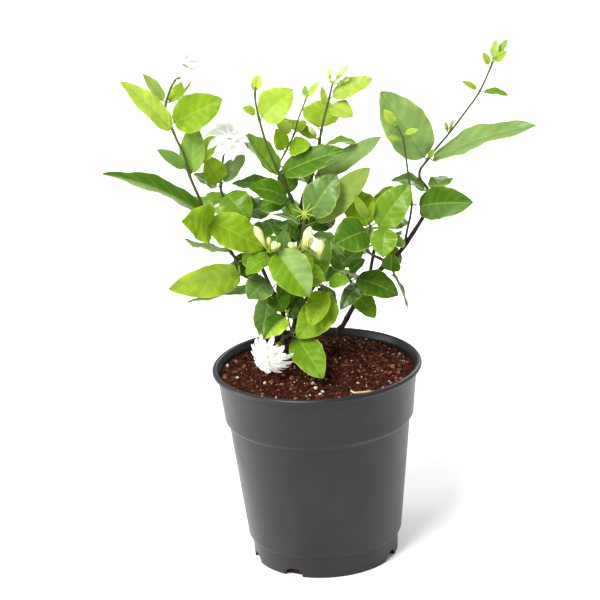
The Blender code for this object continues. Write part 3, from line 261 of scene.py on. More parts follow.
SHOOTS = (
    Shoot(
        "shoot_tall_left", wood="wood_left", wood_points=0, radius=(1.2, 0.75),
        route=(
            (-50, 221, -4), (-57, 232, -5), (-63, 243, -6), (-71, 257, -6), (-76, 272, -6),
            (-81.5, 288, -5), (-84.5, 303, -4), (-89, 315, -2), (-93, 328, 0), (-95, 338, 2),
            (-91, 350, 4), (-86, 358, 4),
        ),
        leaves=(
            Leaf((-67.5, 250.5, -8), (-89.5, 255.5, -34), 29, BRIGHT, roll=5, fold=20, arch=4),
            Leaf((-69.5, 254.5, -9), (-33.5, 232, -26), 26, BRIGHT, roll=12, fold=12, arch=4),
            Leaf((-74, 258.5, -5), (-142, 292.5, -12), 21, DARK, roll=54, fold=24, arch=5, other=SHEEN_GREY),
            Leaf((-51, 213.5, -5), (-102, 206, -20), 23, FRESH, roll=12, fold=14, arch=3),
            Leaf((-91.5, 319.5, -2), (-125, 357.5, -14), 17, YOUNG, roll=30, fold=16, arch=3),
            Leaf((-90.5, 326, -2), (-55.5, 341.5, -12), 26, BRIGHT, roll=8, fold=8, arch=3),
            Leaf((-58, 230, -4), (-88, 242, 18), 18, SHEEN_GREY, roll=74, fold=10, arch=-2),
            Leaf((-49, 224, -8), (-30, 225, -16), 15, MID, roll=25),
            Leaf((-68, 260, 0), (-84, 273, 18), 14, BRIGHT, roll=60),
            Leaf((-85, 292, -6), (-103, 308, -14), 10, MID, roll=20, fold=20, arch=1),
            Leaf((-80, 290, -2), (-76, 325, 10), 18, BRIGHT, roll=10, arch=2),
            Leaf((-76, 295, 2), (-60.5, 315.5, 22), 15, FRESH, roll=30),
            Leaf((-96, 341, 2), (-109, 362, -2), 9, YOUNG, roll=30, arch=1),
            Leaf((-92, 341, 5), (-76, 357, 20), 10, FRESH, roll=30, arch=1),
            Leaf((-54.5, 226.5, 2), (-39, 211.5, 10), 17, DARK, roll=20),
        ),
        bloom=Bloom(
            "bloom_top_left", start=(-86, 358, 4), centre=(-81, 366, -1), reach=16.5, petal_width=7.5,
            layers=((12, 1.0), (44, 0.84), (70, 0.6)),
        ),
    ),
    Shoot(
        "shoot_inner_left", wood="wood_main", wood_points=3, radius=(1.4, 0.75),
        route=(
            (-11, 190, 14), (-20, 215, 18), (-33, 238, 20), (-43, 251, 20), (-50, 260, 18), (-57, 269, 16),
            (-60.5, 277, 14), (-59, 289, 13), (-57.5, 300, 12), (-55.5, 306, 9),
        ),
        leaves=(
            Leaf((-57, 273, 11), (-42, 252, -4), 23, MID, roll=10, fold=6, arch=5),
            Leaf((-58, 280, 14), (-42, 301, 20), 14, SHEEN_GREY, roll=30, fold=20, arch=1),
            Leaf((-62.5, 279.5, 12), (-69.5, 301.5, 2), 17, BRIGHT, roll=10, arch=2),
            Leaf((-63.5, 279, 12), (-79, 289, -4), 13, SHEEN_PALE, roll=50, arch=1),
            Leaf((-58, 269, 20), (-80, 264, 44), 17, MID, roll=60),
            Leaf((-46, 258, 22), (-28, 262, 40), 20, DARK, roll=30),
        ),
        bloom=Bloom(
            "bloom_upper_left", start=(-55.5, 306, 9), centre=(-53, 313, 4), reach=16.5, petal_width=7.0,
            layers=((10, 1.0), (42, 0.84), (70, 0.6)),
        ),
    ),
    Shoot(
        "shoot_centre_left", wood="wood_main", wood_points=0, radius=(1.3, 0.65),
        route=(
            (-10, 257, 4), (-12, 268, 3), (-15, 275, 2), (-22, 293, 0), (-26.5, 306, -1), (-30.5, 323, -2),
            (-33, 340, -2), (-32, 350, -2),
        ),
        leaves=(
            Leaf((-19.5, 285, -1), (27, 300.5, -10), 21, DARK, roll=25, fold=12, arch=3),
            Leaf((-15, 268, 0), (-41, 277, -8), 19, DARK, roll=30, fold=10, arch=4),
            Leaf((-30, 325.5, -3), (-6.5, 345.5, -12), 24, FRESH, roll=12, fold=10, arch=3),
            Leaf((-21.5, 275, 7), (-52.5, 280.5, 24), 16, DARK, roll=50),
            Leaf((-21.5, 285.5, 3), (-45, 317.5, 12), 21, MID, roll=45, fold=24, arch=2),
            Leaf((-10, 270, 3), (-16, 290, 14), 15, DARK, roll=10),
            Leaf((-14, 264, -1), (-9, 246, -10), 10, DARK, roll=10, arch=2),
            Leaf((-13, 268, 5), (-34, 262, 16), 16, DARK, roll=25),
            Leaf((-33, 328.5, -3), (-42.5, 334.5, -8), 7, FRESH, roll=30, arch=1),
            Leaf((-32.5, 345, -2), (-29.5, 357, -3), 8, YOUNG, roll=20, arch=0.5),
            Leaf((-31.5, 343, -2), (-33, 354.5, 4), 6, YOUNG, roll=20, arch=0.5),
            Leaf((-15, 301, 6), (-20, 318.5, 0), 12, BRIGHT, roll=20, arch=1),
            Leaf((-6, 313, 9), (1, 323, 18), 8, FRESH, roll=30, arch=1),
            Leaf((-12, 302, 7), (4, 305.5, -6), 14, BRIGHT, roll=25, arch=2),
            Leaf((-9.5, 314, 8), (-20, 324.5, 0), 9, YOUNG, roll=20, arch=1),
            Leaf((2.5, 340, 9), (11.5, 350, 6), 4.5, YOUNG, roll=20, arch=0.5),
            Leaf((0, 338, 9), (2, 348, 14), 4.5, FRESH, roll=20, arch=0.5),
        ),
        twigs=(((-21, 290, 0), (-14, 302, 6), (-8, 313, 8), (-4, 325, 9), (0, 334, 9), (2, 339, 9)),),
    ),
    Shoot(
        "shoot_centre_right", wood="wood_main", wood_points=2, radius=(1.3, 0.7),
        route=(
            (-8, 238, 7), (-6, 250, 14), (-5.5, 262, 15), (-3, 271, 14), (3.5, 284, 13), (8.7, 302.5, 12),
            (10.6, 312, 12), (13.8, 324.5, 12), (17.4, 336.5, 12), (20.5, 348, 11),
        ),
        leaves=(
            Leaf((7, 283, 11), (52.5, 308.5, -2), 16, SHEEN_PALE, roll=25, fold=16, arch=-2),
            Leaf((19, 337.5, 12), (48.5, 350, 6), 15, YOUNG, roll=30, fold=14, arch=2),
            Leaf((16, 333.5, 11), (33.5, 324, 4), 15, YOUNG, roll=30, arch=2),
            Leaf((9, 318, 20), (16.5, 336, 32), 27, FRESH, roll=20, arch=2),
            Leaf((14, 305, 12), (35.5, 304, 4), 12, MID, roll=66, arch=3),
            Leaf((7.5, 309, 13), (-16.5, 325.5, 22), 12, BRIGHT, roll=50, arch=1),
            Leaf((14.5, 334, 10), (13, 347, 2), 5, YOUNG, roll=10, arch=1),
            Leaf((5, 287, 18), (-10, 292, 40), 15, DARK, roll=50),
        ),
        buds=(
            Bud((24, 352, 9), (31.5, 361, 6), 2.1),
            Bud((19, 352, 11), (18.5, 360, 13), 1.5),
            Bud((26, 349, 11), (33, 352, 13), 1.8),
            Bud((7, 311, 8), (3, 319, 4), 1.9),
        ),
    ),
    Shoot(
        "shoot_long_right", wood="wood_right", wood_points=0, radius=(1.1, 0.6),
        route=(
            (83.5, 262, 16), (83, 270, 16), (78.5, 277, 15), (78.5, 283, 14), (82, 288, 13), (90, 298, 11),
            (99, 308, 10), (111, 323, 9), (121, 336.5, 8), (129, 352.7, 8), (131, 358, 8),
        ),
        leaves=(
            Leaf((77.5, 257.5, 13), (115, 257.5, -12), 25, SAGE, roll=12, fold=16, arch=4, other=DARK),
            Leaf((88, 289.5, 11), (160.5, 310.5, -4), 25, SHEEN_GREY, roll=54, fold=16, arch=5),
            Leaf((83, 291, 14), (53.5, 341, 16), 33, SHEEN_GREY, roll=12, fold=10, arch=4),
            Leaf((81.5, 268, 12), (58, 276.5, 0), 15, DARK, roll=55, arch=5),
            Leaf((87, 268, 20), (100, 276, 44), 16, MID, roll=50),
            Leaf((84, 290, 10), (89, 298, 4), 4, FRESH, roll=10, arch=0.5),
            Leaf((119, 339, 8), (109.5, 345, 4), 4.5, FRESH, roll=30, arch=0.5),
            Leaf((124, 336, 8), (141, 333, 2), 7, MID, roll=50, arch=2),
            Leaf((128, 354, 8), (124.5, 364.5, 5), 5, FRESH, roll=20, arch=0.5),
            Leaf((131.5, 356, 8), (141, 364.5, 4), 6, FRESH, roll=20, arch=0.5),
            Leaf((131.5, 361, 8), (134, 373, 10), 6, YOUNG, roll=10, arch=0.5),
            Leaf((132.5, 360, 9), (141.5, 372.5, 14), 6, FRESH, roll=30, arch=0.5),
        ),
        buds=(
            Bud((98.5, 311, 9), (97, 317, 6), 1.4),
            Bud((100.5, 312, 11), (102.5, 318, 14), 1.3),
        ),
    ),
    Shoot(
        "shoot_thin_right", wood="wood_right", wood_points=1, radius=(0.95, 0.6),
        route=(
            (66, 230.5, 21), (68, 240, 12), (71, 252, 5), (72, 262, 3), (70.5, 278, 2), (68.2, 302, 1),
            (66.5, 310, 0), (63, 316, 0),
        ),
        leaves=(
            Leaf((62, 318, -1), (55, 328, -4), 7, YOUNG, roll=10, arch=1),
            Leaf((69, 310, 0), (78.5, 312.5, -4), 4, FRESH, roll=20, arch=0.5),
            Leaf((66, 306, 0), (56.5, 307.5, -6), 4, YOUNG, roll=40, arch=0.5),
        ),
    ),
    Shoot(
        "shoot_right_front", wood="wood_right", wood_points=2, radius=(1.2, 0.8),
        route=(
            (51, 214.6, 25), (50, 219, 16), (45, 222, 7), (40, 226, -1), (39, 233, -9), (42, 242, -13),
            (41.5, 248, -14),
        ),
        leaves=(
            Leaf((39, 241, -17), (16, 232, -34), 27, DARK, roll=12, fold=10, arch=4),
            Leaf((48.5, 243.5, -15), (71, 273.5, -9), 23, MID, roll=10, fold=10, arch=3),
            Leaf((52.5, 242, -17), (50.5, 221, -28), 19, MID, roll=5, arch=3),
            Leaf((39.5, 244.5, -10), (29.5, 272.5, 6), 25, BRIGHT, roll=15, arch=3),
            Leaf((47, 247, -8), (59, 273, 10), 18, MID, roll=20, arch=2),
            Leaf((40, 251, -16), (32, 268, -22), 7, BRIGHT, roll=0, arch=1),
            Leaf((42.5, 251, -15), (45, 263, -18), 4.5, BRIGHT, roll=0, arch=0.5),
            Leaf((53, 243, -8), (68, 247, 8), 13, MID, roll=30),
            Leaf((54, 234, -2), (66, 229, 8), 8, MID, roll=20),
            Leaf((37, 228, -1), (22, 216, 8), 14, DARK, roll=30),
        ),
    ),
    Shoot(
        "shoot_low_right", wood="wood_right", wood_points=1, radius=(1.2, 0.8),
        route=((30, 188, 36), (29.5, 194, 26), (28.5, 200, 14), (26, 206, 3), (24.5, 211, -3)),
        leaves=(
            Leaf((31, 206, 5), (60, 192, -8), 21, DARK, roll=22, fold=8, arch=4),
            Leaf((30, 194, 12), (43, 176, 2), 15, MID, roll=15, arch=3),
            Leaf((32.5, 200, -1), (18.5, 183.5, -18), 13, DEEP, roll=10, arch=5),
            Leaf((26, 212, -5), (38, 220, -12), 10, DEEP, roll=30, arch=1),
            Leaf((22, 212, -2), (14, 224, 8), 12, DARK, roll=20, arch=2),
        ),
    ),
    Shoot(
        "shoot_side_right", wood="wood_right", wood_points=1, radius=(0.9, 0.7),
        route=((57.5, 220, 23), (57.5, 217, 17), (57.5, 213, 11), (57.5, 209, 6)),
        leaves=(
            Leaf((56, 211, 2), (56.5, 224, -12), 14, DARK, roll=10, arch=1),
            Leaf((57.5, 208, 4), (66, 181.5, 2), 10, DARK, roll=80, arch=1),
        ),
    ),
    Shoot(
        "shoot_low_middle", wood="wood_main", wood_points=1, radius=(1.2, 0.8),
        route=((-10, 199, 12.5), (-5, 202, 9), (1, 203, 3), (7, 202, -4), (10, 198, -7)),
        leaves=(
            Leaf((7, 198, -9), (-3, 172, -26), 17, BRIGHT, roll=5, arch=3),
            Leaf((15, 191, -7), (-13, 164, -16), 25, BRIGHT, roll=10, arch=3),
            Leaf((12, 205, -6), (26.5, 204.5, -18), 11, MID, roll=15, arch=2),
            Leaf((4, 211, -5), (13, 237, -10), 13, MID, roll=10, arch=2),
            Leaf((-1, 205, 6), (-6, 226, 22), 16, DARK, roll=20),
            Leaf((3, 201, 2), (14, 184, 14), 14, DARK, roll=20),
            Leaf((-7.5, 195.5, 8), (-18, 179.5, 14), 15, DEEP, roll=15),
        ),
    ),
    Shoot(
        "shoot_low_front", wood="wood_main", wood_points=1, radius=(1.3, 0.8),
        route=(
            (-14, 171, 18), (-14.5, 170, 10), (-15.5, 168, 0), (-17, 167, -8), (-22, 165, -13),
            (-26, 161, -16),
        ),
        leaves=(
            Leaf((-13, 164, -9), (4, 132, -42), 23, MID, roll=5, fold=8, arch=3),
            Leaf((-21, 182, -12), (-36, 165, -24), 18, DARK, roll=20, fold=22, arch=2, other=FRESH),
        ),
        twigs=(((-17, 167, -7), (-18, 175, -9), (-19, 182, -10)),),
        bloom=Bloom(
            "bloom_low_front", start=(-26, 161, -16), centre=(-32, 153, -22), reach=16.0, petal_width=5.4,
            layers=((6, 1.0), (38, 0.84), (68, 0.55)),
        ),
    ),
    Shoot(
        "shoot_low_left", wood="wood_left", wood_points=1, radius=(1.0, 0.75),
        route=((-27, 197.5, 5), (-29, 200, 0), (-31.5, 202, -5), (-35, 204, -9)),
        leaves=(
            Leaf((-31.5, 208, -11), (-46.5, 195.5, -22), 21, SAGE, roll=15, arch=2),
            Leaf((-38, 203, -5), (-89, 195, 8), 18, SAGE, roll=70, fold=6, arch=2),
            Leaf((-32, 198, -6), (-37, 164, -8), 17, SAGE, roll=10, arch=2),
            Leaf((-29, 201, -1), (-22, 184, -6), 17, DARK, roll=20),
            Leaf((-25, 206, -2), (-16, 190.5, 4), 15, DARK, roll=20),
        ),
    ),
    Shoot(
        "shoot_bud_left", wood="wood_main", wood_points=1, radius=(1.2, 0.8),
        route=((-9.2, 207, 11.5), (-13, 212, 4), (-18, 218, -5), (-24, 225, -13), (-28.5, 229, -17)),
        leaves=(
            Leaf((-24, 229, -17), (-3, 194.5, -34), 28, MID, roll=5, fold=12, arch=5, other=SHEEN_GREY),
            Leaf((-11, 212, -3), (9.5, 206, -16), 20, MID, roll=15, arch=3),
            Leaf((-19, 229, -9), (-18, 245, -14), 12, SAGE, roll=10, arch=2),
            Leaf((-28, 227, -13), (-46.5, 213, -4), 18, MID, roll=30),
            Leaf((-20, 221, -3), (-34, 242, 10), 18, DARK, roll=15),
        ),
        buds=(
            Bud((-32, 234, -20), (-38.5, 249, -24), 2.8),
            Bud((-29.3, 233.6, -19.6), (-29.2, 240.5, -21.4), 1.6),
            Bud((-27, 231.5, -21), (-24.5, 236, -28), 2.5),
            Bud((-24.5, 231.5, -19), (-21.5, 235.5, -23), 1.4),
        ),
    ),
    Shoot(
        "shoot_centre_front", wood="wood_main", wood_points=1, radius=(1.2, 0.8),
        route=(
            (-8.2, 225, 8.4), (-8, 228, 3), (-7.5, 231, -4), (-6.5, 238, -12), (-4.5, 247, -18),
            (-3.5, 253, -21),
        ),
        leaves=(
            Leaf((1, 254.5, -18), (21, 283, -14), 25, SAGE, roll=15, fold=10, arch=4),
            Leaf((5, 250, -12), (44, 287, -6), 21, OLIVE, roll=15, arch=3),
            Leaf((-7, 249, -21), (-25.5, 256.5, -27), 7, DARK, roll=60, arch=2),
            Leaf((-1, 246, -13), (18, 251, 0), 15, DEEP, roll=20, arch=2),
            Leaf((-7, 227, -7), (-1, 212, -12), 11, BRIGHT, roll=10, arch=2),
            Leaf((-9, 235, -7), (-26, 250, 4), 16, DEEP, roll=20),
        ),
        buds=(
            Bud((-5.5, 230.5, -20), (0.5, 246.5, -30), 2.9),
            Bud((-2, 230.5, -16), (1.5, 238, -22), 1.9),
            Bud((-10, 230.5, -13), (-15.5, 235, -20), 2.3),
            Bud((5, 224, -17), (7, 236, -27), 3.2),
        ),
        lobes=((-3.5, 253, -21), (-3.5, 256.5, -25), 9, 9.5),
    ),
    Shoot(
        "shoot_back_left", wood="wood_left", wood_points=2, radius=(1.5, 0.8),
        route=(
            (-22.5, 186, 8.5), (-30, 204, 30), (-38, 226, 46), (-44, 242, 54), (-50, 254, 58),
            (-54, 262, 60),
        ),
        leaves=(
            Leaf((-47, 240, 58), (-66, 248, 80), 22, MID, roll=60),
            Leaf((-38, 238, 50), (-20, 252, 66), 20, DARK, roll=50),
            Leaf((-52, 254, 62), (-76, 262, 76), 20, BRIGHT, roll=70),
            Leaf((-46, 252, 60), (-34, 270, 84), 20, MID, roll=60),
            Leaf((-40, 222, 47), (-62, 217, 66), 20, DARK, roll=60),
            Leaf((-55, 266, 61), (-58, 274, 74), 9, MID, roll=60, arch=1),
        ),
    ),
    Shoot(
        "shoot_back_middle", wood="wood_main", wood_points=2, radius=(1.5, 0.8),
        route=((-8.4, 218, 10), (-5, 232, 28), (-2, 248, 42), (0, 264, 52), (3, 280, 56), (5, 288, 57)),
        leaves=(
            Leaf((-5, 254, 48), (-30, 266, 68), 22, DARK, roll=60),
            Leaf((2, 250, 47), (20, 262, 76), 22, BRIGHT, roll=60),
            Leaf((5, 278, 54), (33, 293, 60), 17, MID, roll=60),
            Leaf((0, 278, 58), (-18, 291, 78), 18, DARK, roll=60),
            Leaf((2, 240, 34), (22, 224, 32), 18, MID, roll=30),
            Leaf((-6, 250, 40), (-22, 239, 34), 14, DARK, roll=30),
            Leaf((4, 290, 58), (10, 295, 72), 9, BRIGHT, roll=60, arch=1),
        ),
    ),
    Shoot(
        "shoot_back_right", wood="wood_right", wood_points=2, radius=(1.4, 0.8),
        route=((39.5, 201, 31), (42, 216, 42), (46, 234, 50), (51, 250, 55), (55, 260, 57)),
        leaves=(
            Leaf((43, 232, 52), (26, 240, 78), 22, MID, roll=60),
            Leaf((49, 232, 54), (60, 236, 84), 22, DARK, roll=70),
            Leaf((40, 228, 48), (22, 221, 46), 15, MID, roll=40),
            Leaf((51, 225.5, 48), (63, 216, 50), 13, DARK, roll=40),
            Leaf((48, 250, 56), (30, 262, 68), 18, BRIGHT, roll=50),
            Leaf((54, 251, 58), (76, 258, 76), 18, MID, roll=70),
            Leaf((56, 261, 58), (61, 268, 72), 10, DARK, roll=60, arch=1),
        ),
    ),
    Shoot(
        "shoot_back_low", wood="wood_main", wood_points=2, radius=(1.3, 0.8),
        route=((-12.5, 181, 16.5), (-6, 192, 32), (1, 202, 44), (5, 212, 52), (7, 219, 55)),
        leaves=(
            Leaf((-3, 205, 48), (-22, 208, 70), 21, MID, roll=70),
            Leaf((6, 206, 46), (34, 207, 66), 21, DARK, roll=60),
            Leaf((3, 219, 56), (-14, 228, 74), 18, BRIGHT, roll=60),
            Leaf((10, 219, 55), (34, 226, 72), 18, MID, roll=60),
            Leaf((7, 222, 56), (9, 228, 70), 10, DARK, roll=60, arch=1),
        ),
    ),
)


def shader_math(operation: str, swapped: bool = False) -> Callable[..., "Value"]:
    """Makes a method of Value that adds one Math node.

    Args:
        operation: The node's operation.
        swapped: Whether the other value comes first.

    Returns:
        The method.
    """

    def method(value: "Value", *others: "Value | float") -> "Value":
        """The node's result."""
        inputs = (*others, value) if swapped else (value, *others)
        return value.graph.value("ShaderNodeMath", {"operation": operation}, dict(enumerate(inputs)))

    return method


class Value:
    """A shader value: expressions on it add the Math nodes that work them out."""

    def __init__(self, graph: "Graph", socket: bpy.types.NodeSocket) -> None:
        """Wraps one output socket of a graph."""
        self.graph = graph
        self.socket = socket

    __add__ = shader_math("ADD")
    __radd__ = shader_math("ADD", swapped=True)
    __sub__ = shader_math("SUBTRACT")
    __rsub__ = shader_math("SUBTRACT", swapped=True)
    __mul__ = shader_math("MULTIPLY")
    __rmul__ = shader_math("MULTIPLY", swapped=True)
    __pow__ = shader_math("POWER")
    __abs__ = shader_math("ABSOLUTE")
    fract = shader_math("FRACT")

    def rises(self, low: float, high: float) -> "Value":
        """A smooth step from 0 at low to 1 at high."""
        inputs = {"Value": self, "From Min": low, "From Max": high}
        return self.graph.value("ShaderNodeMapRange", {"interpolation_type": "SMOOTHSTEP"}, inputs)


class Graph:
    """A material's nodes, with methods that add them."""

    def __init__(self, name: str) -> None:
        """Starts a material with nothing but its output.

        Args:
            name: The material's name.
        """
        self.material = bpy.data.materials.new(name)
        self.material.use_nodes = True
        self.tree = self.material.node_tree
        self.tree.nodes.clear()
        self.output = self.tree.nodes.new("ShaderNodeOutputMaterial")

    def node(self, kind: str, settings: dict, inputs: dict) -> bpy.types.Node:
        """Adds a node.

        Args:
            kind: The node's type.
            settings: Its own settings, set first.
            inputs: The value or the link of each socket, by name or number.

        Returns:
            The node.
        """
        made = self.tree.nodes.new(kind)
        for key, value in settings.items():
            setattr(made, key, value)
        for key, value in inputs.items():
            if isinstance(value, Value):
                self.tree.links.new(value.socket, made.inputs[key])
            elif isinstance(value, tuple) and len(value) == 3 and made.inputs[key].type == "RGBA":
                made.inputs[key].default_value = (*value, 1.0)
            else:
                made.inputs[key].default_value = value
        return made

    def value(self, kind: str, settings: dict, inputs: dict, output: int | str = 0) -> Value:
        """Adds a node and gives one of its results."""
        return Value(self, self.node(kind, settings, inputs).outputs[output])

    def place(self) -> Value:
        """Object coordinates, in metres."""
        return self.value("ShaderNodeTexCoord", {}, {}, "Object")

    def stretched(self, scale: Place) -> Value:
        """Object coordinates stretched along each axis."""
        return self.value("ShaderNodeMapping", {}, {"Vector": self.place(), "Scale": scale})

    def own_map(self) -> tuple[Value, Value]:
        """The places across and along on the mesh's own map."""
        split = self.node("ShaderNodeSeparateXYZ", {}, {0: self.value("ShaderNodeUVMap", {}, {})})
        return Value(self, split.outputs[0]), Value(self, split.outputs[1])

    def noise(self, where: Value, scale: float, detail: float = 3.0, rough: float = 0.5) -> Value:
        """Noise from 0 to 1 at a scale."""
        inputs = {"Vector": where, "Scale": scale, "Detail": detail, "Roughness": rough}
        return self.value("ShaderNodeTexNoise", {}, inputs)

    def attribute(self, name: str) -> tuple[Value, Value]:
        """A colour attribute of the mesh and its alpha."""
        made = self.node("ShaderNodeAttribute", {"attribute_name": name}, {})
        return Value(self, made.outputs["Color"]), Value(self, made.outputs["Alpha"])

    def mix(self, factor: Value | float, first: Value | Colour, second: Value | Colour) -> Value:
        """A colour between two."""
        return self.value("ShaderNodeMix", {"data_type": "RGBA"}, {0: factor, 6: first, 7: second}, 2)

    def scaled(self, colour: Value, factor: Value | float) -> Value:
        """A colour made lighter or darker."""
        return self.value("ShaderNodeVectorMath", {"operation": "SCALE"}, {0: colour, "Scale": factor})

    def tinted(self, colour: Value, tint: Colour) -> Value:
        """A colour multiplied by another."""
        return self.value("ShaderNodeVectorMath", {"operation": "MULTIPLY"}, {0: colour, 1: tint})

    def bump(self, height: Value, strength: float, distance: float) -> Value:
        """A normal from a height, with the depth in metres."""
        inputs = {"Height": height, "Strength": strength, "Distance": distance}
        return self.value("ShaderNodeBump", {}, inputs)

    def finish(self, **sockets: "Value | float | Colour") -> bpy.types.Material:
        """Ends in a Principled shader.

        Args:
            sockets: What its sockets take, with underscores for the spaces in their names. Glow is the
                one colour of the light that passes through a thin skin, and through is how much does.

        Returns:
            The material.
        """
        glow = sockets.pop("glow", None)
        through = sockets.pop("through", 0.0)
        inputs = {}
        for key, value in sockets.items():
            inputs[key.replace("_", " ").title().replace("Ior", "IOR")] = value
        result = self.node("ShaderNodeBsdfPrincipled", {}, inputs).outputs[0]
        if glow is not None:
            inside = self.node("ShaderNodeBsdfTranslucent", {}, {"Color": glow})
            both = self.node("ShaderNodeMixShader", {}, {0: through})
            self.tree.links.new(result, both.inputs[1])
            self.tree.links.new(inside.outputs[0], both.inputs[2])
            result = both.outputs[0]
        self.tree.links.new(result, self.output.inputs["Surface"])
        return self.material


@dataclass(frozen=True)
class MouldedPlastic:
    """Satin dark grey plastic with a fine grain and a little dust."""

    colour: Colour = (0.0145, 0.0136, 0.0165)
    dusty: Colour = (0.034, 0.033, 0.035)
    roughness: float = 0.36
    shine: float = 0.27
    grain_scale: float = 2600.0
    patch_scale: float = 26.0
    scuff_scale: float = 60.0
    scuff_stretch: Place = (1.0, 1.0, 16.0)
    depth: float = 0.00010

    def make(self, name: str) -> bpy.types.Material:
        """Makes the material.

        Args:
            name: The material's name.

        Returns:
            The material.
        """
        graph = Graph(name)
        where = graph.place()
        grain = graph.noise(where, self.grain_scale, 2.0)
        patches = graph.noise(where, self.patch_scale, 4.0, 0.6).rises(0.42, 0.75)
        stretched = graph.stretched(self.scuff_stretch)
        scuffs = graph.noise(stretched, self.scuff_scale, 5.0, 0.7).rises(0.55, 0.80)
        colour = graph.mix(patches * 0.35, self.colour, self.dusty)
        return graph.finish(
            base_color=graph.mix(scuffs * 0.25, colour, self.dusty),
            roughness=self.roughness + 0.10 * patches + 0.06 * scuffs,
            specular_ior_level=self.shine,
            normal=graph.bump(grain + 0.6 * scuffs, 0.16, self.depth),
        )


@dataclass(frozen=True)
class MoistSoil:
    """Reddish dark brown peat and bark, patchy and matt."""

    dark: Colour = (0.010, 0.0022, 0.0012)
    red: Colour = (0.064, 0.015, 0.0060)
    pale: Colour = (0.190, 0.080, 0.045)
    shine: float = 0.06
    patch_scale: float = 420.0
    speck_scale: float = 1500.0
    depth: float = 0.0008

    def make(self, name: str) -> bpy.types.Material:
        """Makes the material.

        Args:
            name: The material's name.

        Returns:
            The material.
        """
        graph = Graph(name)
        where = graph.place()
        patches = graph.noise(where, self.patch_scale, 5.0, 0.65)
        specks = graph.noise(where, self.speck_scale, 3.0, 0.6)
        colour = graph.mix(patches.rises(0.36, 0.66), self.dark, self.red)
        colour = graph.mix(specks.rises(0.60, 0.76) * 0.7, colour, self.pale)
        return graph.finish(
            base_color=colour,
            roughness=0.95 - 0.25 * patches,
            specular_ior_level=self.shine,
            normal=graph.bump(patches + 0.7 * specks, 0.9, self.depth),
        )


@dataclass(frozen=True)
class Crumb:
    """Crumbs and fibres, each in its own brown by the colour attribute."""

    roughness: float = 0.82
    shine: float = 0.06
    grit_scale: float = 1800.0
    depth: float = 0.0004

    def make(self, name: str) -> bpy.types.Material:
        """Makes the material.

        Args:
            name: The material's name.

        Returns:
            The material.
        """
        graph = Graph(name)
        tone, _ = graph.attribute("tone")
        grit = graph.noise(graph.place(), self.grit_scale, 4.0, 0.7)
        return graph.finish(
            base_color=graph.scaled(tone, 0.55 + 0.9 * grit),
            roughness=self.roughness,
            specular_ior_level=self.shine,
            normal=graph.bump(grit, 0.8, self.depth),
        )


@dataclass(frozen=True)
class Perlite:
    """White puffed grains."""

    colour: Colour = (0.62, 0.54, 0.48)
    stained: Colour = (0.34, 0.19, 0.13)
    roughness: float = 0.9
    stain_scale: float = 700.0
    pit_scale: float = 2400.0
    depth: float = 0.0003

    def make(self, name: str) -> bpy.types.Material:
        """Makes the material.

        Args:
            name: The material's name.

        Returns:
            The material.
        """
        graph = Graph(name)
        where = graph.place()
        stain = graph.noise(where, self.stain_scale, 4.0, 0.6).rises(0.52, 0.80)
        pits = graph.noise(where, self.pit_scale, 2.0)
        return graph.finish(
            base_color=graph.mix(stain * 0.7, self.colour, self.stained),
            roughness=self.roughness,
            normal=graph.bump(pits, 0.8, self.depth),
        )


@dataclass(frozen=True)
class Straw:
    """Dry pale straw with fine lines along it."""

    colour: Colour = (0.62, 0.47, 0.22)
    dark: Colour = (0.27, 0.17, 0.07)
    roughness: float = 0.75
    line_scale: float = 2200.0
    line_stretch: Place = (0.12, 1.0, 1.0)
    patch_scale: float = 260.0
    depth: float = 0.0003

    def make(self, name: str) -> bpy.types.Material:
        """Makes the material.

        Args:
            name: The material's name.

        Returns:
            The material.
        """
        graph = Graph(name)
        lines = graph.noise(graph.stretched(self.line_stretch), self.line_scale, 3.0)
        patches = graph.noise(graph.place(), self.patch_scale, 3.0)
        colour = graph.mix(patches.rises(0.45, 0.7), self.colour, self.dark)
        return graph.finish(
            base_color=graph.mix(lines * 0.4, colour, self.dark),
            roughness=self.roughness,
            normal=graph.bump(lines, 0.6, self.depth),
        )


@dataclass(frozen=True)
class Bark:
    """Thin dark bark: fibres along the stem, lighter flakes and small pores."""

    dark: Colour = (0.011, 0.008, 0.005)
    light: Colour = (0.062, 0.041, 0.021)
    pore: Colour = (0.17, 0.12, 0.07)
    shine: float = 0.2
    fibre_scale: float = 1300.0
    fibre_stretch: Place = (1.0, 1.0, 0.16)
    flake_scale: float = 330.0
    pore_scale: float = 900.0
    depth: float = 0.0004

    def make(self, name: str) -> bpy.types.Material:
        """Makes the material.

        Args:
            name: The material's name.

        Returns:
            The material.
        """
        graph = Graph(name)
        fibres = graph.noise(graph.stretched(self.fibre_stretch), self.fibre_scale, 5.0, 0.65)
        flakes = graph.noise(graph.place(), self.flake_scale, 4.0, 0.6)
        pores = graph.noise(graph.place(), self.pore_scale, 1.0).rises(0.68, 0.76)
        colour = graph.mix(fibres.rises(0.35, 0.72), self.dark, self.light)
        colour = graph.mix(flakes.rises(0.55, 0.8) * 0.5, colour, self.light)
        return graph.finish(
            base_color=graph.mix(pores * 0.6, colour, self.pore),
            roughness=0.68 + 0.2 * flakes,
            specular_ior_level=self.shine,
            normal=graph.bump(fibres + 0.5 * flakes + 0.6 * pores, 0.8, self.depth),
        )


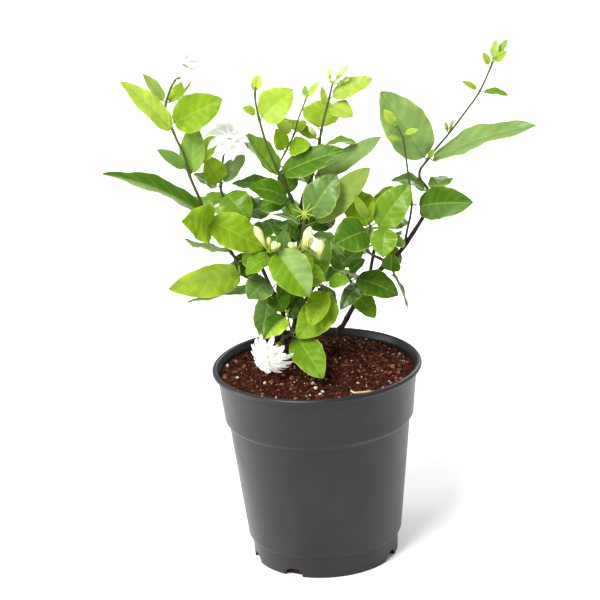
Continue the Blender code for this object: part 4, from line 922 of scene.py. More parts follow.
@dataclass(frozen=True)
class YoungStalk:
    """The green or brown skin of a young stalk, in the tone of its colour attribute."""

    roughness: float = 0.50
    shine: float = 0.25
    line_scale: float = 1600.0
    line_stretch: Place = (1.0, 1.0, 0.2)
    patch_scale: float = 240.0
    depth: float = 0.0002

    def make(self, name: str) -> bpy.types.Material:
        """Makes the material.

        Args:
            name: The material's name.

        Returns:
            The material.
        """
        graph = Graph(name)
        tone, _ = graph.attribute("tone")
        lines = graph.noise(graph.stretched(self.line_stretch), self.line_scale, 3.0)
        patches = graph.noise(graph.place(), self.patch_scale, 3.0)
        return graph.finish(
            base_color=graph.scaled(tone, 0.42 + 0.40 * lines + 0.25 * patches),
            roughness=self.roughness,
            specular_ior_level=self.shine,
            normal=graph.bump(lines, 0.4, self.depth),
        )


@dataclass(frozen=True)
class Blade:
    """A leaf's skin: midrib, arched side veins, mottling and a pale rim, by the blade's own map."""

    veins: float = 6.0
    sweep: float = 0.20
    under: bool = False
    midrib: Colour = (0.36, 0.52, 0.09)
    rim: Colour = (0.50, 0.62, 0.10)
    pale: Colour = (0.20, 0.34, 0.11)
    warm: Colour = (1.26, 1.10, 0.85)
    glow: Colour = (0.27, 0.46, 0.010)
    sheen: Colour = (0.80, 1.0, 0.36)
    net_scale: float = 900.0
    mottle_scale: float = 110.0
    vein_share: float = 0.11
    midrib_share: float = 0.34
    rim_share: float = 0.38
    coat_roughness: float = 0.32
    depth: float = 0.00030
    through: float = 0.20

    def make(self, name: str) -> bpy.types.Material:
        """Makes the material.

        Args:
            name: The material's name.

        Returns:
            The material.
        """
        graph = Graph(name)
        tone, chance = graph.attribute("tone")
        across, along = graph.own_map()
        side = abs(across * 2.0 - 1.0)
        phase = ((along - self.sweep * side**1.3) * self.veins + chance).fract()
        line = abs(phase * 2.0 - 1.0)
        vein = line.rises(0.74, 1.0) * (1.0 - side.rises(0.65, 0.95))
        nets = graph.noise(graph.place(), self.net_scale, 3.0, 0.6)
        mottle = graph.noise(graph.place(), self.mottle_scale, 4.0, 0.6)
        centre = 1.0 - side.rises(0.015, 0.085)
        rim = side.rises(0.90, 0.985)
        outer = side.rises(0.35, 1.0) * mottle.rises(0.30, 0.70)
        base = graph.mix(outer * 0.55, tone, graph.tinted(tone, self.warm))
        base = graph.scaled(base, 0.62 + 0.76 * mottle)
        if self.under:
            base = graph.mix(0.45, base, self.pale)
        between = graph.scaled(base, 1.0 + 0.08 * line.rises(0.0, 0.7))
        colour = graph.mix(vein * self.vein_share, between, self.midrib)
        colour = graph.mix(centre * self.midrib_share, colour, self.midrib)
        colour = graph.mix(rim * self.rim_share, colour, self.rim)
        ridges, rough, shine, coat = (1.0, 0.52, 0.18, 0.12) if self.under else (-1.0, 0.36, 0.30, 0.45)
        relief = ridges * (vein + 1.4 * centre) + 0.35 * nets
        return graph.finish(
            base_color=colour,
            roughness=rough + 0.14 * nets,
            specular_ior_level=shine,
            specular_tint=self.sheen,
            coat_weight=(chance * 7.3).fract().rises(0.45, 0.95) * coat,
            coat_roughness=self.coat_roughness,
            normal=graph.bump(relief, 0.45, self.depth),
            glow=self.glow,
            through=self.through,
        )


@dataclass(frozen=True)
class Petal:
    """A white petal, with faint lines along it and a green-yellow base, glowing faintly with a painted
    light of its own.
    """

    colour: Colour = (0.97, 0.97, 0.95)
    shade: Colour = (0.80, 0.80, 0.46)
    # The strength of the petal's painted glow
    shine: float = 0.07
    roughness: float = 0.55
    lines: float = 9.0
    grain_scale: float = 500.0
    depth: float = 0.0003
    through: float = 0.50

    def make(self, name: str) -> bpy.types.Material:
        """Makes the material.

        Args:
            name: The material's name.

        Returns:
            The material.
        """
        graph = Graph(name)
        across, along = graph.own_map()
        lines = abs((across * self.lines).fract() * 2.0 - 1.0).rises(0.6, 1.0)
        base = 1.0 - along.rises(0.05, 0.60)
        soft = graph.noise(graph.place(), self.grain_scale, 2.0)
        colour = graph.mix(base * 0.8, self.colour, self.shade)
        return graph.finish(
            base_color=graph.scaled(colour, 0.97 + 0.04 * soft),
            roughness=self.roughness,
            normal=graph.bump(lines * 0.6 + soft, 0.3, self.depth),
            # A painted glow in the petal's own colour, though the petal is no lamp
            emission_color=self.colour,
            emission_strength=self.shine,
            glow=self.colour,
            through=self.through,
        )


@dataclass(frozen=True)
class BudSkin:
    """A bud's closed petals: cream, greener towards the stalk by its colour attribute."""

    glow: Colour = (0.85, 0.88, 0.50)
    roughness: float = 0.48
    grain_scale: float = 700.0
    depth: float = 0.0002
    through: float = 0.2

    def make(self, name: str) -> bpy.types.Material:
        """Makes the material.

        Args:
            name: The material's name.

        Returns:
            The material.
        """
        graph = Graph(name)
        tone, _ = graph.attribute("tone")
        soft = graph.noise(graph.place(), self.grain_scale, 3.0)
        return graph.finish(
            base_color=graph.scaled(tone, 0.88 + 0.2 * soft),
            roughness=self.roughness,
            normal=graph.bump(soft, 0.3, self.depth),
            glow=self.glow,
            through=self.through,
        )


class Workpiece:
    """A bmesh in millimetres that becomes one finished piece."""

    def __init__(self, name: str) -> None:
        """Starts empty, with a map and a tone for what its materials follow.

        Args:
            name: The piece's name.
        """
        self.name = name
        self.whole = bmesh.new()
        self._start()

    def _start(self) -> None:
        """Starts a batch."""
        self.bm = bmesh.new()
        self.map = self.bm.loops.layers.uv.new("UVMap")
        self.tone = self.bm.verts.layers.float_color.new("tone")

    def spill(self, most: int = SPILL) -> None:
        """Moves the batch to the whole once it is large, since a small one works faster.

        Args:
            most: How many faces may stay in it.
        """
        if len(self.bm.faces) <= most:
            return
        batch = bpy.data.meshes.new("batch")
        self.bm.to_mesh(batch)
        self.bm.free()
        self.whole.from_mesh(batch)
        bpy.data.meshes.remove(batch)
        self._start()

    def turned(self, profile: Sequence[tuple[float, float]], sides: int) -> None:
        """Turns a section round the upright axis.

        Args:
            profile: Radii and heights.
            sides: How many sides the round has.
        """
        verts = [self.bm.verts.new((radius, 0.0, height)) for radius, height in profile]
        edges = [self.bm.edges.new(pair) for pair in zip(verts, verts[1:])]
        spin = {"cent": (0.0, 0.0, 0.0), "axis": (0.0, 0.0, 1.0), "angle": 2.0 * math.pi}
        bmesh.ops.spin(self.bm, geom=verts + edges, steps=sides, use_merge=True, **spin)
        bmesh.ops.remove_doubles(self.bm, verts=self.bm.verts, dist=0.001)
        bmesh.ops.recalc_face_normals(self.bm, faces=self.bm.faces)

    def sweep(
        self,
        route: Sequence[Vector],
        radii: Sequence[float],
        sides: int = 10,
        tones: Sequence[Colour] = ((1.0, 1.0, 1.0),),
        shape: Callable[[float, float], float] | None = None,
        material: int = 0,
    ) -> None:
        """Draws a ring along a route, with its ends closed.

        Args:
            route: The points of its middle.
            radii: The radius at each point.
            sides: How many sides the ring has.
            tones: One colour, or one for each point, for a material that follows it.
            shape: Scales the radius by the share of the way and the angle round it.
            material: The material's slot.
        """
        self.spill()
        ring = bmesh.ops.create_circle(self.bm, cap_ends=False, segments=sides, radius=1.0)["verts"]
        turns = {vert: math.atan2(vert.co.y, vert.co.x) for vert in ring}
        edges = list({edge for vert in ring for edge in vert.link_edges})
        start = len(self.bm.faces)
        side = (route[1] - route[0]).orthogonal().normalized()
        last = len(route) - 1
        first_edges = edges
        for i, centre in enumerate(route):
            if i:
                grown = bmesh.ops.extrude_edge_only(self.bm, edges=edges)["geom"]
                fresh = [item for item in grown if isinstance(item, bmesh.types.BMVert)]
                edges = [item for item in grown if isinstance(item, bmesh.types.BMEdge)]
                places = {tuple(vert.co): turn for vert, turn in turns.items()}
                turns = {vert: places[tuple(vert.co)] for vert in fresh}
            along = (route[min(i + 1, last)] - route[max(i - 1, 0)]).normalized()
            side = (side - along * side.dot(along)).normalized()
            other = along.cross(side)
            tone = tones[min(i, len(tones) - 1)]
            for vert, turn in turns.items():
                size = radii[i] * (shape(i / last, turn) if shape else 1.0)
                vert.co = centre + (side * math.cos(turn) + other * math.sin(turn)) * size
                vert[self.tone] = (*tone, 1.0)
        bmesh.ops.holes_fill(self.bm, edges=first_edges, sides=0)
        bmesh.ops.holes_fill(self.bm, edges=edges, sides=0)
        self.bm.faces.ensure_lookup_table()
        faces = self.bm.faces[start:]
        for face in faces:
            face.material_index = material
        bmesh.ops.recalc_face_normals(self.bm, faces=faces)

    def blade(
        self,
        cuts: tuple[int, int],
        surface: Callable[[float, float], Vector],
        tone: Callable[[float], tuple[float, float, float, float]],
        thick: float,
        upper: Vector | None = None,
        materials: tuple[int, int] = (0, 0),
    ) -> None:
        """Bends a grid to a surface and gives it its thickness.

        Args:
            cuts: The grid's faces across and along.
            surface: The point at a place across (-1 to 1) and along (0 to 1).
            tone: The colour and chance at a place across.
            thick: The thickness.
            upper: The direction of the upper face, where the faces have different materials.
            materials: The slots of the upper and the lower face.
        """
        self.spill()
        start = len(self.bm.faces)
        grid = bmesh.ops.create_grid(self.bm, x_segments=cuts[0], y_segments=cuts[1], size=1.0)["verts"]
        self.bm.faces.ensure_lookup_table()
        faces = self.bm.faces[start:]
        for face in faces:
            for loop in face.loops:
                loop[self.map].uv = ((loop.vert.co.x + 1.0) * 0.5, self._along(loop.vert.co.y))
        for vert in grid:
            across = vert.co.x
            vert[self.tone] = tone(across)
            vert.co = surface(across, self._along(vert.co.y))
        for face in faces:
            face.normal_update()
        if upper is not None and sum((face.normal.dot(upper) for face in faces), 0.0) < 0.0:
            bmesh.ops.reverse_faces(self.bm, faces=faces)
        bmesh.ops.solidify(self.bm, geom=faces, thickness=thick)
        self.bm.faces.ensure_lookup_table()
        shell = self.bm.faces[start:]
        bmesh.ops.recalc_face_normals(self.bm, faces=shell)
        for face in shell:
            below = upper is not None and face.normal.dot(upper) < 0.0
            face.material_index = materials[1] if below else materials[0]

    @staticmethod
    def _along(height: float) -> float:
        """A grid's height from -1 to 1 as a place along, with closer rows at both ends."""
        share = (height + 1.0) * 0.5
        return 0.65 * share + 0.35 * (0.5 - 0.5 * math.cos(math.pi * share))

    def finish(self, materials: Sequence[bpy.types.Material], slot: str, *nodes: str) -> bpy.types.Object:
        """Makes the object, which rides on the root body.

        Args:
            materials: Its materials, in the order of the slots.
            slot: The record's material slot; not used.
            nodes: The solids that it stands for.

        Returns:
            The object.
        """
        self.spill(0)
        bmesh.ops.scale(self.whole, vec=Vector((MM, MM, MM)), verts=self.whole.verts)
        mesh = bpy.data.meshes.new(self.name)
        self.whole.to_mesh(mesh)
        self.whole.free()
        self.bm.free()
        mesh.shade_smooth()
        mesh.set_sharp_from_angle(angle=math.radians(SHARP))
        for material in materials:
            mesh.materials.append(material)
        made = bpy.data.objects.new(self.name, mesh)
        bpy.context.scene.collection.objects.link(made)
        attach(made, "root")
        if nodes:
            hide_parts(*nodes)
        LOG.info("%s: %d faces", self.name, len(mesh.polygons))
        return made


@dataclass
class Pot:
    """The thin moulded pot: outer radii and heights from the foot to the rolled rim."""

    foot_radius: float = 52.4
    foot_height: float = 15.0
    foot_flare: float = 0.7
    foot_step: float = 2.4
    body_low: float = 55.7
    body_top: float = 65.2
    ledge: float = 105.0
    band_low: float = 67.9
    band_top: float = 71.4
    rim: float = 75.0
    height: float = 145.0
    rim_depth: float = 3.6
    wall: float = 1.6
    floor: float = 2.2
    rounding: float = 0.55
    corner: float = 12.0
    notch: tuple[float, float] = (14.0, 6.0)
    notch_depth: float = 9.0
    notch_step: float = 45.0
    notch_first: float = -28.0
    notch_left_out: int = 1
    sides: int = 144

    def profile(self) -> list[tuple[float, float]]:
        """The section from the middle of the underside, out, over the rim and back to the middle.

        Returns:
            Radii and heights.
        """
        rim_low = self.height - self.rim_depth
        return [
            (0.0, 0.9),
            (self.foot_radius - 7.0, 0.9),
            (self.foot_radius - 5.6, 0.0),
            (self.foot_radius, 0.0),
            (self.foot_radius + self.foot_flare, self.foot_height),
            (self.body_low, self.foot_height + self.foot_step),
            (self.body_top, self.ledge - 1.0),
            (self.band_low, self.ledge + 2.0),
            (self.band_low + 0.15, self.ledge + 4.2),
            (self.band_top, rim_low - 1.4),
            (self.rim - 0.7, rim_low),
            (self.rim, rim_low + 0.8),
            (self.rim, self.height - 1.4),
            (self.rim - 1.4, self.height),
            (self.rim - 3.2, self.height - 0.3),
            (self.band_top - self.wall, rim_low - 1.0),
            (self.band_low - self.wall, self.ledge + 4.5),
            (self.body_top - self.wall, self.ledge - 1.0),
            (self.body_low - self.wall, self.foot_height + 4.0),
            (self.foot_radius + self.foot_flare - self.wall, self.foot_height),
            (self.foot_radius - self.wall, self.floor),
            (0.0, self.floor),
        ]

    def build(self) -> None:
        """Turns the pot, rounds its edges and cuts the drain notches."""
        work = Workpiece("pot_moulded")
        work.turned(self.profile(), self.sides)
        rings = [edge for edge in work.bm.edges if self._is_corner(edge)]
        ways = {"offset_type": "OFFSET", "segments": 3, "profile": 0.5, "affect": "EDGES"}
        bmesh.ops.bevel(work.bm, geom=rings, offset=self.rounding, clamp_overlap=True, material=-1, **ways)
        made = work.finish([MouldedPlastic().make("pot_plastic")], "pot", "pot")
        self._cut_notches(made)

    def _is_corner(self, edge: bmesh.types.BMEdge) -> bool:
        """Whether an edge runs round the pot at a corner of its section."""
        level = abs(edge.verts[0].co.z - edge.verts[1].co.z) < 0.01
        return level and len(edge.link_faces) == 2 and edge.calc_face_angle(0.0) > math.radians(self.corner)

    def _cut_notches(self, pot: bpy.types.Object) -> None:
        """Cuts the arched notches through the wall's lower edge.

        Args:
            pot: The pot's object.
        """
        bm = bmesh.new()
        wide, high = self.notch
        outwards = Matrix.Translation((0.0, -self.foot_radius, 0.0))
        lying = Matrix.Rotation(math.pi / 2, 4, "X")
        size = Matrix.Diagonal((wide * 0.5, high, self.notch_depth, 1.0))
        cone = {"cap_ends": True, "segments": 28, "radius1": 1.0, "radius2": 1.0, "depth": 1.0}
        for k in range(int(360.0 / self.notch_step)):
            if k == self.notch_left_out:
                continue
            turn = Matrix.Rotation(math.radians(self.notch_first + self.notch_step * k), 4, "Z")
            bmesh.ops.create_cone(bm, matrix=turn @ outwards @ lying @ size, **cone)
        bmesh.ops.scale(bm, vec=Vector((MM, MM, MM)), verts=bm.verts)
        mesh = bpy.data.meshes.new("notches")
        bm.to_mesh(mesh)
        bm.free()
        cutter = bpy.data.objects.new("notches", mesh)
        bpy.context.scene.collection.objects.link(cutter)
        cut = pot.modifiers.new("notches", "BOOLEAN")
        cut.operation = "DIFFERENCE"
        cut.object = cutter
        graph = bpy.context.evaluated_depsgraph_get()
        result = bpy.data.meshes.new_from_object(pot.evaluated_get(graph))
        pot.modifiers.clear()
        pot.data = result
        bpy.data.objects.remove(cutter)


@dataclass
class Soil:
    """The filling: its heap, its crumbs and fibres, and the perlite in it."""

    edge_height: float = 138.6
    edge_radius: float = 69.35
    inside: float = 69.8
    heap: float = 13.0
    spread: float = 30.0
    centre: tuple[float, float] = (4.0, 26.0)
    crumb: float = 1.1
    crumb_size: float = 9.0
    grit: tuple[tuple[float, float], ...] = ((7.0, 3.1), (19.0, 1.3))
    rings: int = 64
    sides: int = 190
    crumbs: int = 2300
    fibres: int = 340
    specks: int = 60
    coarse_relief: float = 1.1
    fine_relief: float = 0.55
    browns: tuple[Colour, ...] = (
        (0.045, 0.012, 0.005), (0.105, 0.030, 0.012), (0.230, 0.085, 0.036), (0.018, 0.005, 0.003),
        (0.070, 0.017, 0.008), (0.034, 0.008, 0.004),
    )
    # The larger white grains: across, towards the back, and size
    grains: tuple[tuple[float, float, float], ...] = (
        (-6.3, -19.1, 1.1), (-3.7, -31.2, 1.3), (-1.8, -39.3, 1.2), (0.8, -49.3, 1.4), (3.0, -43.8, 1.3),
        (-6.2, -48.3, 1.1), (-9.0, -14.7, 1.0), (-64.5, 19.0, 1.1), (-57.5, -6.0, 1.3), (37.5, 57.0, 1.1),
        (24.5, 61.0, 1.0), (45.8, -12.9, 1.0), (62.0, 4.6, 1.1), (-23.8, -1.5, 0.9), (21.1, 33.8, 0.9),
        (24.9, -1.8, 0.9), (27.8, -32.1, 0.9), (60.3, 25.5, 1.0), (-37.5, -22.3, 1.0), (-12.4, -4.2, 0.9),
        (-41.0, 42.0, 1.1), (-16.0, 57.0, 1.0), (50.0, -30.0, 0.8), (6.0, -27.0, 0.8), (8.0, -35.5, 0.9),
        (-30.0, -50.0, 0.9),
    )

    def height(self, x: float, y: float) -> float:
        """The soil's height at a place: heaped, and level where it meets the pot's wall.

        Args:
            x: Across, in millimetres.
            y: Towards the back.

        Returns:
            The height above the pot's underside.
        """
        away = (x - self.centre[0]) ** 2 + (y - self.centre[1]) ** 2
        edge = min(1.0, math.hypot(x, y) / self.inside)
        heap = self.heap * math.exp(-away / (2.0 * self.spread**2))
        crumbs = self.crumb * noise.noise(Vector((x, y, 0.0)) / self.crumb_size)
        return self.edge_height + (heap + crumbs) * (1.0 - edge**4)

    def top(self, x: float, y: float) -> float:
        """The height with its finer crumbs."""
        coarse, fine = (noise.noise(Vector((x, y, level)) / size) for level, size in self.grit)
        return self.height(x, y) + self.coarse_relief * max(coarse, -0.6) + self.fine_relief * fine - 0.3

    def build(self) -> None:
        """Builds the bed, the loose crumbs and fibres on it, and the perlite."""
        self._build_bed()
        self._build_crumbs()
        self._build_perlite()

    def _build_bed(self) -> None:
        """The filling as one turned body with a crumbly top."""
        work = Workpiece("soil_bed")
        profile = [(0.0, 2.6), (50.4, 2.6), (51.1, 15.0), (53.7, 22.0), (63.2, 105.0), (65.9, 110.5)]
        profile += [(self.edge_radius, self.edge_height - 1.6)]
        for k in range(self.rings + 1):
            profile.append((self.edge_radius * (1.0 - k / self.rings), self.edge_height))
        work.turned(profile, self.sides)
        for vert in work.bm.verts:
            if vert.co.z > self.edge_height - 0.5:
                vert.co.z = self.top(vert.co.x, vert.co.y)
        work.finish([MoistSoil().make("soil_moist")], "soil", "soil")

    def _spots(self, chance: random.Random, count: int, reach: float) -> Iterator[Vector]:
        """Finds random places on the soil.

        Args:
            chance: The draw.
            count: How many places.
            reach: How far from the middle they may lie.

        Yields:
            One place after the other.
        """
        for _ in range(count):
            radius = reach * math.sqrt(chance.random())
            turn = chance.uniform(0.0, 2.0 * math.pi)
            x, y = radius * math.cos(turn), radius * math.sin(turn)
            yield Vector((x, y, self.top(x, y)))

    def _build_crumbs(self) -> None:
        """Loose crumbs, bark chips and bent fibres."""
        chance = random.Random(SEED)
        work = Workpiece("soil_crumbs")
        for spot in self._spots(chance, self.crumbs, self.edge_radius - 1.6):
            size = chance.uniform(0.45, 1.0) + 1.1 * chance.random() ** 5
            spot.z += size * 0.25
            self._pebble(work, chance, spot, size, 1, chance.choice(self.browns))
        for spot in self._spots(chance, self.fibres, self.edge_radius - 6.0):
            turn = chance.uniform(0.0, math.pi)
            way = Vector((math.cos(turn), math.sin(turn), chance.uniform(-0.12, 0.25)))
            length = chance.uniform(3.0, 10.0)
            bend = Vector((-way.y, way.x, 0.0)) * chance.uniform(-0.2, 0.2) * length
            ends = [spot - way * length * 0.5, spot + bend, spot + way * length * 0.5]
            lifted = [point + Vector((0.0, 0.0, 0.5)) for point in ends]
            thick = chance.uniform(0.16, 0.42)
            work.sweep(lifted, [thick, thick * 1.2, thick * 0.5], 4, [chance.choice(self.browns)])
        work.finish([Crumb().make("soil_crumb")], "soil")

    def _build_perlite(self) -> None:
        """White puffed grains half sunk in the soil."""
        chance = random.Random(SEED + 1)
        work = Workpiece("perlite")
        white = (0.8, 0.8, 0.8)
        for x, y, size in self.grains:
            self._pebble(work, chance, Vector((x, y, self.top(x, y) + size * 0.35)), size, 2, white)
        for spot in self._spots(chance, self.specks, self.edge_radius - 4.0):
            self._pebble(work, chance, spot + Vector((0.0, 0.0, 0.2)), chance.uniform(0.28, 0.6), 2, white)
        work.finish([Perlite().make("perlite")], "soil")

    @staticmethod
    def _pebble(
        work: Workpiece, chance: random.Random, spot: Vector, size: float, cuts: int, tone: Colour
    ) -> None:
        """Adds one rough grain.

        Args:
            work: The piece that it belongs to.
            chance: The draw.
            spot: Its middle.
            size: Its radius.
            cuts: How finely its ball is divided.
            tone: Its colour.
        """
        work.spill()
        turn = Euler([chance.uniform(0.0, 6.3) for _ in range(3)]).to_matrix().to_4x4()
        shape = Matrix.Diagonal([size * chance.uniform(0.6, 1.25) for _ in range(3)] + [1.0])
        matrix = Matrix.Translation(spot) @ turn @ shape
        verts = bmesh.ops.create_icosphere(work.bm, subdivisions=cuts, radius=1.0, matrix=matrix)["verts"]
        for vert in verts:
            vert.co += (vert.co - spot) * chance.uniform(-0.28, 0.28)
            vert[work.tone] = (*tone, 1.0)


@dataclass
class DryStalk:
    """A bit of straw that lies on the soil."""

    route: tuple[tuple[float, float], ...] = ((22.5, -48.0), (25.0, -52.0), (30.0, -51.0), (36.5, -49.5))
    thick: float = 0.9

    def build(self, soil: Soil) -> None:
        """Lays the straw on the soil, ridged along its length, with split ends.

        Args:
            soil: What it lies on.
        """
        work = Workpiece("dry_straw")
        rest = [Vector((x, y, soil.height(x, y) + self.thick + 0.35)) for x, y in self.route]
        route = smooth_route(rest, 6)
        radii = [self.thick * (0.78 + 0.22 * i / len(route)) for i in range(len(route))]
        work.sweep(route, radii, 10, shape=lambda share, turn: 1.0 + 0.10 * math.cos(5.0 * turn))
        way = (route[-1] - route[-2]).normalized()
        for spread in (-0.35, 0.1, 0.4):
            tip = route[-1] + way * 2.2 + Vector((0.0, spread * 2.0, 0.2))
            work.sweep([route[-1] - way * 0.6, tip], [0.35, 0.12], 5)
        work.finish([Straw().make("straw")], "dry_stalk", "dry_stalk")


@dataclass(frozen=True)
class Lie:
    """How a leaf lies: its stalk's root, the blade's start and run to the tip, its side and upper face."""

    root: Vector
    start: Vector
    run: Vector
    side: Vector
    upper: Vector


@dataclass
class Plan:
    """Where each leaf of a shoot lies: read off the shoot's own solid, by the rule that placed it there."""

    shoot: Shoot
    blade: float = 0.8
    tip_width: float = 0.8
    stalk_shortest: float = 3.0
    bare_start: float = 2.2
    swing_step: float = 0.07
    swing_steps: int = 10
    most_miss: float = 0.5
    turns: tuple[float, ...] = (0.0, 15.0, -15.0, 30.0, -30.0, 45.0, -45.0)
    green: list[Vector] = field(init=False)
    twigs: list[list[Vector]] = field(init=False)

    def __post_init__(self) -> None:
        """Works out the green route and the twigs."""
        route = [seen(place) for place in self.shoot.route]
        self.green = route[self.shoot.wood_points :]
        self.twigs = [[seen(place) for place in twig] for twig in self.shoot.twigs]

    def root(self, base: Vector) -> Vector:
        """Finds the place on the stalks that a leaf's own stalk grows from.

        Args:
            base: The blade's base.

        Returns:
            The place.
        """
        places = [nearest_on(self.green, base, self.bare_start)]
        places += [nearest_on(twig, base) for twig in self.twigs]
        return min(places, key=lambda place: (place - base).length)

    def frames(self, leaf: Leaf, root: Vector) -> Iterator[Lie]:
        """Every way that the leaf may lie: its tip moved along the line of sight, and its face turned.

        Args:
            leaf: The leaf.
            root: Where its stalk grows from.

        Yields:
            One way after the other.
        """
        across, up, deep = leaf.tip
        step = self.swing_step * (Vector(leaf.tip) - Vector(leaf.base)).length
        swings = [0.0] + [step * k * way for k in range(1, self.swing_steps + 1) for way in (1, -1)]
        for turn in self.turns:
            for swing in swings:
                base = seen(leaf.base)
                tip = seen((across, up, deep + swing))
                if (base - root).length < self.stalk_shortest:
                    base = root + (tip - root).normalized() * self.stalk_shortest
                along = (tip - base).normalized()
                sight = (EYE - base.lerp(tip, 0.5)).normalized()
                facing = (sight - along * sight.dot(along)).normalized()
                skyward = along.cross(facing)
                if skyward.z < 0:
                    skyward = -skyward
                angle = math.radians(leaf.roll + turn)
                upper = facing * math.cos(angle) + skyward * math.sin(angle)
                yield Lie(root, base, tip - base, upper.cross(along), upper)

    def lies(self, solid: bpy.types.Object) -> list[Lie]:
        """Finds how each leaf lies in the solid, by the corners of its tip.

        Args:
            solid: The shoot's solid.

        Returns:
            One lie for each leaf.
        """
        tree = KDTree(len(solid.data.vertices))
        for i, vert in enumerate(solid.data.vertices):
            tree.insert(vert.co / MM, i)
        tree.balance()
        found = []
        for leaf in self.shoot.leaves:
            root = self.root(seen(leaf.base))
            best = min(self.frames(leaf, root), key=lambda lie: self._miss(lie, tree))
            if self._miss(best, tree) > self.most_miss:
                LOG.warning("%s: the leaf at %s misses its solid", self.shoot.name, leaf.base)
            found.append(best)
        return found

    def _miss(self, lie: Lie, tree: KDTree) -> float:
        """Measures how far the tip's corners lie from the solid's own.

        Args:
            lie: One way that the leaf may lie.
            tree: The solid's corners.

        Returns:
            The sum of the distances.
        """
        tip = lie.start + lie.run
        reach, skin = lie.side * self.tip_width * 0.5, lie.upper * self.blade * 0.5
        corners = (tip - reach + skin, tip + reach + skin, tip + reach - skin, tip - reach - skin)
        return sum(tree.find(corner)[2] for corner in corners)


@dataclass
class Foliage:
    """Builds a leaf in its place: a folded, arched blade with waved edges on a grooved stalk."""

    rise: float = 0.52
    fall: float = 0.75
    wave_size: float = 0.05
    waves: float = 2.2
    wave_shift: float = 2.0
    ruffle: float = 0.016
    ruffles: float = 6.3
    turned_down: float = 0.020
    groove: float = 0.020
    groove_reach: float = 0.09
    thick: float = 0.38
    stalk: float = 0.62
    veins: float = 6.0
    sweep: float = 0.20
    quilt: float = 0.018
    pale: Colour = (0.32, 0.46, 0.09)
    cuts: tuple[tuple[float, tuple[int, int]], ...] = ((32.0, (14, 30)), (15.0, (10, 20)), (0.0, (8, 12)))

    def outline(self, along: float) -> float:
        """Works out half the blade's width.

        Args:
            along: The share of the way to the tip.

        Returns:
            Its share of the most.
        """
        widest = self.rise / (self.rise + self.fall)
        most = widest**self.rise * (1.0 - widest) ** self.fall
        inside = min(max(along, 0.0), 1.0)
        return inside**self.rise * (1.0 - inside) ** self.fall / most

    def middle(self, leaf: Leaf, lie: Lie, along: float) -> Vector:
        """The blade's middle line."""
        return lie.start + lie.run * along + lie.upper * leaf.arch * 4.0 * along * (1.0 - along)

    def add(self, work: Workpiece, leaf: Leaf, lie: Lie, chance: random.Random) -> None:
        """Adds one leaf.

        Args:
            work: The shoot's piece: slot 0 is the upper face, 1 the lower and 2 the stalks.
            leaf: The leaf.
            lie: How it lies.
            chance: The shoot's own draw.
        """
        length = lie.run.length
        fold = math.radians(leaf.fold)
        seed = chance.uniform(0.0, 6.3)
        luck = chance.random()
        light = chance.uniform(0.88, 1.12)

        def surface(across: float, along: float) -> Vector:
            """Finds a point of the blade.

            Args:
                across: The place across, from -1 to 1.
                along: The place along, from 0 to 1.

            Returns:
                The point.
            """
            far = abs(across)
            half = leaf.width * 0.5 * self.outline(along) * (1.0 + 0.02 * wave(along, 5.0, seed)) + 0.12
            out = across * half * math.cos(fold)
            lift = half * math.sin(fold) * far**1.15
            shift = 0.0 if across < 0.0 else self.wave_shift
            lift += leaf.width * self.wave_size * wave(along, self.waves, shift) * far**1.6
            ruffled = wave(along, self.ruffles, seed + shift) * far**3 * (1.0 - along**4)
            lift += leaf.width * (self.ruffle * ruffled - self.turned_down * far**7)
            phase = (along - self.sweep * far**1.3) * self.veins + luck
            lift += leaf.width * self.quilt * (0.5 - 0.5 * math.cos(2.0 * math.pi * phase)) * (1.0 - far**4)
            lift -= leaf.width * self.groove * bell(far, self.groove_reach) * (1.0 - along)
            return self.middle(leaf, lie, along) + lie.side * out + lie.upper * (lift + self.thick * 0.5)

        def tone(across: float) -> tuple[float, float, float, float]:
            """Finds the colour and the chance.

            Args:
                across: The place across, from -1 to 1.

            Returns:
                Both, as the colour attribute holds them.
            """
            # The blade's second half takes the leaf's other tone: a painted lighter or darker side of the
            # fold
            other = leaf.other or leaf.tone
            mixed = blend(leaf.tone.value, other.value, min(max(across * 6.0 + 0.5, 0.0), 1.0))
            return (*(part * light for part in mixed), luck)

        cuts = next(cuts for least, cuts in self.cuts if length > least)
        work.blade(cuts, surface, tone, self.thick, lie.upper, (UPPER, LOWER))
        self._add_stalk(work, leaf, lie)

    def _add_stalk(self, work: Workpiece, leaf: Leaf, lie: Lie) -> None:
        """Adds the leaf's stalk, which runs on under the blade as its midrib.

        Args:
            work: The shoot's piece.
            leaf: The leaf.
            lie: How it lies.
        """
        below = lie.upper * (self.thick + 0.05)
        places = [lie.root, lie.root.lerp(lie.start, 0.5), lie.root.lerp(lie.start, 0.9)]
        places += [self.middle(leaf, lie, share) - below for share in (0.05, 0.25, 0.5, 0.72, 0.9)]
        route = smooth_route(places, 3)
        size = self.stalk * min(1.0, 0.55 + leaf.width / 40.0)
        radii = [size * (1.0 - 0.82 * (i / (len(route) - 1)) ** 0.8) for i in range(len(route))]
        work.sweep(route, radii, 7, [blend(leaf.tone.value, self.pale, 0.4)], material=STALK)


